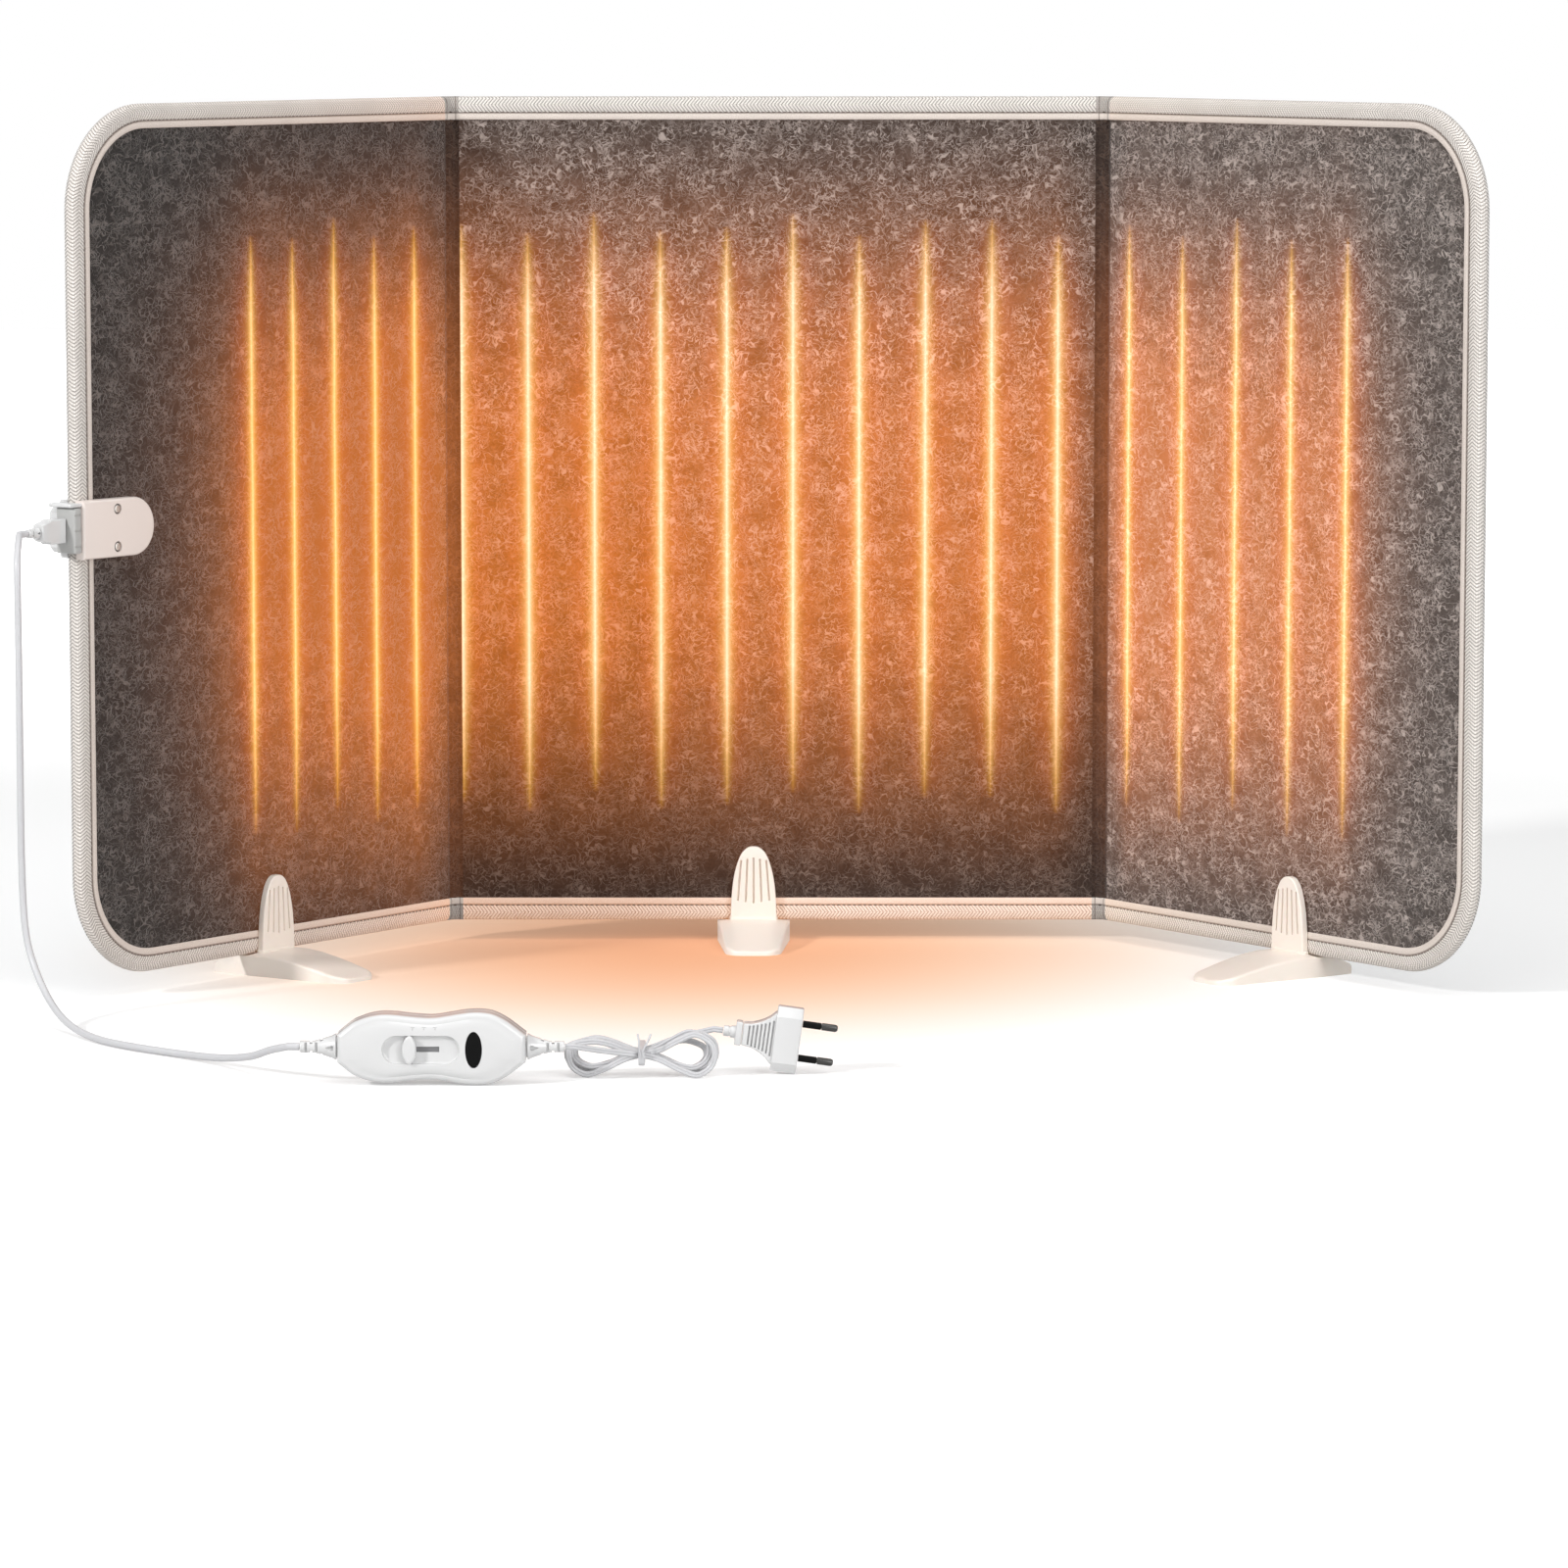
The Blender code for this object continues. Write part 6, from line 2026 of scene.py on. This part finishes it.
@dataclass
class MainsCord:
    """The mains cord, put up in a hank of waisted loops, and the hank's tie."""

    controller: Controller
    diameter: float = 0.0033
    loops: int = 4
    length: float = 0.0815
    height: float = 0.025
    pitch: float = 0.0041
    x: float = -0.072
    y: float = -0.523
    end_steps: int = 7
    run_steps: int = 5
    gap: float = GAP
    lobes: Sequence[tuple[tuple[float, float, float], tuple[float, float, float]]] = (((0.1, 0.0, 0.0),
        (0.0, 0.0, 0.0)), ((0.36, 0.34, 0.0024), (0.12, 0.3, -0.0026)),
        ((0.22, 0.1, -0.001), (0.05, 0.08, 0.0006)), ((0.3, 0.22, 0.003), (0.3, 0.14, -0.0046)))

    def loop_points(self) -> list[Vector]:
        """The hank's loops, drawn in at the waist, each a pitch behind the last.

        Returns:
            The loops' points.
        """
        radius = self.height / 2 - self.diameter / 2
        middle = self.length / 2 - self.diameter / 2 - radius
        height = radius + self.diameter / 2 + self.gap
        per_loop = 2 * (self.end_steps + self.run_steps)
        points = []
        for loop in range(self.loops):
            for i in range(per_loop):
                side_step = i % (per_loop // 2)
                way = 1 if i < per_loop // 2 else -1
                if side_step < self.run_steps + 1:
                    share = -1 + 2 * side_step / (self.run_steps + 1)
                    x = way * middle * share
                    z = -radius * (0.45 * share + 0.55 * math.sin(math.pi / 2 * share) ** 3)
                else:
                    angle = math.pi * (side_step - self.run_steps - 1) / self.end_steps
                    x, z = way * (middle + radius * math.sin(angle)), -radius * math.cos(angle)
                squeeze, lift, slide = self.lobes[loop][0 if x < 0 else 1]
                away = min(abs(x) / middle, 1.0)
                x += slide * away
                z = z * (1 - squeeze * away) + radius * away * (lift - squeeze)
                y = self.pitch * (loop + i / per_loop - self.loops / 2)
                points.append(Vector((self.x + x, self.y + y, height + z)))
        half = (self.run_steps + 1) // 2
        last = points[-per_loop:][:half + 1]
        return points[half:] + [point + Vector((0.0, self.pitch, 0.0)) for point in last]

    def route(self, plug: "MainsPlug") -> list[Vector]:
        """The cord's centreline from the controller to the plug.

        Args:
            plug: The plug at its end.

        Returns:
            The route's points.
        """
        loops = self.loop_points()
        reach = self.controller.length / 2 + RELIEF_LENGTH + 2 * GAP
        start = Vector((self.controller.x + reach, self.controller.y, self.controller.z))
        straight = Vector((self.diameter * 1.5, 0.0, 0.0))
        middle = start.lerp(loops[0], 0.55)
        into = even_steps(smooth_line([start + straight, middle, loops[0]], 20), 2.5 * self.diameter)
        end = plug.matrix() @ Vector((-plug.cord_end(), 0.0, 0.0))
        back = plug.matrix().to_3x3() @ straight
        rising = loops[-1].lerp(end - back, 0.5) + Vector((0.0, 0.0, 0.001))
        points = [*into[:-1], *loops, rising, end - back]
        return [start, *even_steps(smooth_line(points, 6), 0.0022), end]

    def build(self, plug: "MainsPlug", with_pieces: Sequence[Piece]) -> None:
        """Makes the cord and its tie.

        Args:
            plug: The plug at its end.
            with_pieces: The other pieces on the cord; not used.
        """
        route = self.route(plug)
        tie = self.tie()
        shape = swept_tube(route, self.diameter, 20, 0.42)
        piece = add_piece("mains_cable", shape, CORD_PVC.material())
        settle(piece, "root", "cord_jacket", "mains_cord")
        log.info("%s is %.3f m long", piece.name, run_length(route))

    def tie(self) -> Piece:
        """The white tie round the waist, with its two twisted ends.

        Returns:
            The piece.
        """
        rise = self.diameter / 2 + 0.0021
        spread = self.pitch * (self.loops / 2 + 0.16) + self.diameter / 2 + self.gap
        shapes = []
        outline, inner = [], []
        for wall, ring in ((0.0007, outline), (0.0, inner)):
            bend = self.diameter / 2 + self.gap + wall
            for i in range(48):
                angle = math.tau * (i + 0.5) / 48
                across, up = math.cos(angle), math.sin(angle)
                ring.append((math.copysign(spread + wall - bend, across) + bend * across,
                    math.copysign(rise + wall - bend, up) + bend * up))
        band = carved(plate(outline, -0.0017, 0.0017, 0.0003, 0.0003, 2), [plate(inner, -0.01, 0.01)])
        end_on = Matrix.Translation((self.x, self.y, self.height / 2 + self.gap)) @ turn_about("Z", 90)
        lean = turn_about("Y", -7)
        shapes.append(moved(band, end_on @ lean))
        front = Vector((self.x, self.y - spread - 0.0006, self.height / 2 + self.gap))
        for way, bend in ((-1, 0.4), (1, 1.0)):
            tail = [front + Vector(step) for step in ((0.0, 0.0, 0.0012 * way),
                (0.0012 * way, -0.0008, 0.004), (0.0034 * way * bend, -0.0006, 0.008),
                (0.005 * way * bend, 0.0006, 0.0118))]
            shapes.append(swept_tube(even_steps(smooth_line(tail, 8), 0.0008), 0.0011, 8))
        piece = add_piece("twist_tie", joined(shapes), CORD_PVC.material(), 50.0)
        return settle(piece, "root", "binding_tape", "hank_tie")


# Mains plug
@dataclass
class MainsPlug:
    """The flat two-pin plug, standing on its narrow side and tilted a little."""

    x: float = 0.0125
    y: float = -0.513775
    z: float = 0.017778
    tilt_deg: float = 8.0
    height: float = 0.0353
    thickness: float = 0.0137
    block_length: float = 0.014
    grip_length: float = 0.017
    grip_height: float = 0.028
    grip_thickness: float = 0.0105
    collar_length: float = 0.01
    chamfer: Point2 = (0.0052, 0.0036)
    grip_shares: Sequence[Point2] = ((0.0, 1.0), (0.2, 0.78), (0.45, 0.59), (0.7, 0.47), (1.0, 0.42))
    pin_spacing: float = 0.0186
    pin_radius: float = 0.002
    pin_length: float = 0.019
    sleeve_length: float = 0.01

    def matrix(self) -> Matrix:
        """Frame of the pin face, X the way the pins point."""
        turn = turn_about("Y", self.tilt_deg)
        return Matrix.Translation((self.x, self.y, self.z)) @ turn

    def cord_end(self) -> float:
        """How far behind the pin face the cord meets the collar."""
        return self.block_length + self.grip_length + self.collar_length + 0.0006

    def block(self) -> Shape:
        """The six-sided block that carries the pins.

        Returns:
            The closed bmesh.
        """
        half, deep = self.height / 2, self.thickness / 2
        rise, inward = self.chamfer
        top = [(deep, half - rise), (deep - inward, half), (inward - deep, half), (-deep, half - rise)]
        loop = top + [(-y, -z) for y, z in top]
        shape = plate(loop, -self.block_length / 2, self.block_length / 2, 0.0008, 0.0008, 3)
        stand = turn_about("Z", 90)
        return moved(shape, Matrix.Translation((-self.block_length / 2, 0.0, 0.0)) @ stand)

    def grip(self) -> Shape:
        """The tapering grip with its ribs.

        Returns:
            The closed bmesh.
        """
        upper = [(0.004 - self.block_length, self.grip_height / 2, 0.0)]
        upper += [(-self.block_length - self.grip_length * along, self.grip_height / 2 * share, 0.0)
            for along, share in self.grip_shares]
        line = smooth_line(upper, 5)
        loop = [(p.x, p.y) for p in line] + [(p.x, -p.y) for p in reversed(line)]
        half = self.grip_thickness / 2
        return plate(loop, -half, half, 0.0012, 0.0012, 3)

    def rib_grooves(self) -> list[Shape]:
        """Grooves across both faces of the grip, which leave its ribs.

        Returns:
            The tools that cut them.
        """
        tools = []
        for face in (1, -1):
            for i in range(7):
                x = -self.block_length - 0.0012 - 0.0021 * i
                share = (i + 0.6) / 8
                reach = self.grip_height / 2 * (1.0 - 0.6 * share ** 0.55) * 0.8
                y = face * self.grip_thickness / 2
                near, far = sorted((y - face * 0.0015, y + face * 0.001))
                tools.append(box((x - 0.00048, near, -reach), (x + 0.00048, far, reach)))
        return tools

    def build(self) -> list[Piece]:
        """Makes the plug's pieces.

        Returns:
            The pieces, for the cord's list.
        """
        matrix = self.matrix()
        body = carved(self.block(), [self.grip()], "UNION")
        body = carved(body, [joined(self.rib_grooves())])
        gloss = WHITE_GLOSS.material()
        pieces = [settle(add_piece("mains_plug_casing", moved(body, matrix), gloss, 30.0), "root",
            "controller_plastic", "mains_plug_body")]
        flange = box((-0.0036, -0.0046, -0.0064), (0.0, 0.0046, 0.0064), 0.0008)
        neck = turned(((-self.collar_length, 0.0), (-self.collar_length, 0.0026), (-0.0096, 0.0028),
            (-0.0075, 0.003), (-0.007, 0.0026), (-0.0064, 0.0026), (-0.006, 0.0032), (-0.003, 0.0036),
            (-0.003, 0.0)), 28)
        collar = carved(flange, [neck], "UNION")
        seat = Matrix.Translation((-self.block_length - self.grip_length - 0.0003, 0.0, 0.0))
        pieces.append(settle(add_piece("mains_plug_neck", moved(collar, matrix @ seat), gloss, 32.0),
            "root", "controller_plastic", "mains_plug_collar"))
        neck_start = self.sleeve_length + 0.0003
        pin = turned(((0.0, 0.0), (0.0, 0.0013), (neck_start, 0.0013), (neck_start, self.pin_radius),
            (self.pin_length - 0.0016, self.pin_radius), (self.pin_length - 0.0008, 0.0018),
            (self.pin_length - 0.0002, 0.0012), (self.pin_length, 0.0)), 28)
        sleeve = turned(((0.0, 0.0016), (0.0, 0.0019), (self.sleeve_length - 0.0003, 0.0019),
            (self.sleeve_length, 0.0017), (self.sleeve_length, 0.0016), (0.0, 0.0016)), 28)
        for label, way in (("upper", 1), ("lower", -1)):
            seat = matrix @ Matrix.Translation((0.0003, 0.0, way * self.pin_spacing / 2))
            for kind, shape, finish, slot in (("mains_pin", pin, NICKEL, "pin_metal"),
                    ("pin_sleeve", sleeve, BLACK_PLASTIC, "sleeve_plastic")):
                piece = add_piece(f"{label}_{kind}_round", moved(shape.copy(), seat), finish.material(),
                    30.0)
                pieces.append(settle(piece, "root", slot, f"{label}_{kind}"))
        for shape in (pin, sleeve):
            shape.free()
        return pieces


# Studio
# Each lamp: its name, place, aim, side in metres and watts
LAMPS = (("key_lamp", (-3.9, -2.95, 2.6), (0.0, 0.0, 0.25), 0.45, 172.0),
    ("fill_lamp", (1.9, -3.1, 1.3), (0.0, 0.0, 0.25), 1.8, 66.0),
    ("top_lamp", (0.2, -1.0, 3.0), (0.0, -0.2, 0.1), 2.4, 38.0))


@dataclass
class Studio:
    """Pale floor, soft light and the photograph's camera."""

    camera_x: float = 0.004
    camera_y: float = -4.166
    camera_z: float = 0.592
    tilt_deg: float = 6.8
    lens: float = 158.2
    floor_size: float = 14.0
    daylight: float = 0.28

    def floor(self) -> None:
        """A white floor that keeps the object's shadow, with a painted pool of warm light before the
        panels.
        """
        material, g, shader = new_material("studio_floor")
        where, ray = g.place(), g.ray()
        across, deep, _ = g.split(where)
        # Painted light: a warm pool before the panels tints the floor's colour and its seen glow
        wide = ((across + 0.05) / 0.38) ** 2.0 + ((deep + 0.02) / 0.46) ** 2.0
        pool = g.ramp(g.math("SQRT", wide), 0.0, 1.05, 1.0, 0.0) * g.ramp(deep, 0.09, 0.17, 1.0, 0.0)
        pale = g.mix(g.noise(where, 3.0), (0.72, 0.72, 0.72), (0.7, 0.7, 0.7))
        green, blue = (g.math("POWER", share, pool) for share in (0.5, 0.28))
        tone = g.out(g.add("ShaderNodeCombineColor", {0: 1.0, 1: green, 2: blue}))
        painted_pool_light = g.mix(ray("Camera") * 0.6 + 0.4, (1.0, 1.0, 1.0), tone)
        g.feed(shader, {"Base Color": g.mix(1.0, pale, painted_pool_light, "MULTIPLY"), "Roughness": 0.7,
            "Specular IOR Level": 0.2})
        length = g.add("ShaderNodeVectorMath", {0: where}, operation="LENGTH")
        far = g.ramp(g.out(length, "Value"), 0.8, 2.2, 0.0, 0.7)
        seen = g.math("MAXIMUM", ray("Camera"), ray("Glossy"))
        # The seen glow is white, and weaker and warm in the painted pool
        white = g.add("ShaderNodeEmission", {"Color": tone, "Strength": seen * (pool * -0.12 + 0.37 + far)})
        both = g.add("ShaderNodeAddShader", {0: shader.outputs[0], 1: white.outputs[0]})
        g.feed(material.node_tree.nodes["Material Output"], {"Surface": both.outputs[0]})
        shape = bmesh.new()
        bmesh.ops.create_grid(shape, x_segments=2, y_segments=2, size=self.floor_size / 2)
        add_piece("studio_floor", shape, material)

    def world(self) -> None:
        """Soft even light, white where it is seen."""
        world = bpy.data.worlds.new("studio_world")
        bpy.context.scene.world = world
        world.use_nodes = True
        g = Graph(world.node_tree)
        ray = g.ray()
        seen = g.math("MAXIMUM", g.math("MAXIMUM", ray("Camera"), ray("Glossy")), ray("Transmission"))
        g.feed(world.node_tree.nodes["Background"], {"Color": (1.0, 1.0, 1.0, 1.0),
            "Strength": seen * (1.0 - self.daylight) + self.daylight})

    def lamp(self, name: str, place: Sequence[float], aim: Sequence[float], size: float,
            power: float) -> None:
        """One square soft lamp.

        Args:
            name: The lamp's name.
            place: Where it hangs.
            aim: What it points at.
            size: Its side.
            power: Its watts.
        """
        light = bpy.data.lights.new(name, "AREA")
        light.size = size
        light.energy = power
        thing = bpy.data.objects.new(name, light)
        thing.location = place
        thing.rotation_euler = (Vector(aim) - Vector(place)).to_track_quat("-Z", "Y").to_euler()
        bpy.context.scene.collection.objects.link(thing)

    def camera(self) -> None:
        """The photograph's camera."""
        data = bpy.data.cameras.new("photo_camera")
        data.lens = self.lens
        data.sensor_width = 36.0
        data.clip_end = 60.0
        thing = bpy.data.objects.new("photo_camera", data)
        thing.location = (self.camera_x, self.camera_y, self.camera_z)
        thing.rotation_euler = (math.radians(90.0 - self.tilt_deg), 0.0, 0.0)
        bpy.context.scene.collection.objects.link(thing)
        bpy.context.scene.camera = thing

    def build(self) -> None:
        """Sets the stage."""
        bpy.context.scene.view_settings.view_transform = "Standard"
        self.camera()
        self.floor()
        self.world()
        for lamp in LAMPS:
            self.lamp(*lamp)


# Where each foot sits along its own panel
FOOT_PLACES = {Side.CENTER: -0.0145, Side.LEFT: -0.166, Side.RIGHT: 0.176}


def dress_hidden_nodes() -> None:
    """Gives the solids that stay their finishes."""
    finishes = {"core_board": BOARD, "heating_wire": CARBON, "circuit_board": CIRCUIT,
        "slide_switch": SLOT_GREY}
    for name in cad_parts:
        for ending, finish in finishes.items():
            if name.endswith(ending):
                thing = bpy.data.objects[name]
                thing.data.materials.clear()
                thing.data.materials.append(finish.material())


def main() -> None:
    """Builds the studio and the heater in order."""
    logging.basicConfig(level=logging.INFO, format="%(relativeCreated)d ms %(message)s")
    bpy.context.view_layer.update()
    Studio().build()
    sizes = PanelSizes()
    heats = {
        Side.LEFT: HeatLines(-0.0337, -0.0365, 5, reach=0.036, fold=1.2, base=-0.035, crown=0.28,
            crest=0.5, level=0.88, line=(1.0, 0.88, 0.5)),
        Side.CENTER: HeatLines(-0.1906, 0.04, 10, crown=0.3, crest=0.505),
        Side.RIGHT: HeatLines(0.0235, 0.0486, 5, reach=0.022, fold=0.5, crown=0.29, crest=0.49,
            level=0.92, line=(1.0, 0.92, 0.62))}
    # Painted shade for each panel's felt: its darkening all over, and at its bottom
    shades = {Side.LEFT: (0.17, 1.0), Side.CENTER: (0.7, 0.4), Side.RIGHT: (0.95, 1.0)}
    places = {side: PanelPlace(sizes, side) for side in Side}
    controller, plug = Controller(), MainsPlug()
    left_sleeve, right_sleeve = controller.build()[-2:]
    plug_pieces = plug.build()
    lead_plug_pieces = LeadPlug(places[Side.LEFT]).build()
    LeadCord(places[Side.LEFT], controller).build([*lead_plug_pieces, left_sleeve])
    MainsCord(controller).build(plug, [right_sleeve, *plug_pieces])
    for side in Side:
        FeltPanel(places[side], heats[side], *shades[side]).build()
    for side in (Side.LEFT, Side.RIGHT):
        SoftFold(places[side]).build(heats[side])
    for side, reach in FOOT_PLACES.items():
        seat = places[side].matrix() @ Matrix.Translation((reach, 0.0, 0.0))
        ClipFoot(f"{places[side].label}_foot", f"{places[side].label}_clip_foot", seat).build()
    Connector(places[Side.LEFT]).build()
    dress_hidden_nodes()


if __name__ == "__main__":
    main()
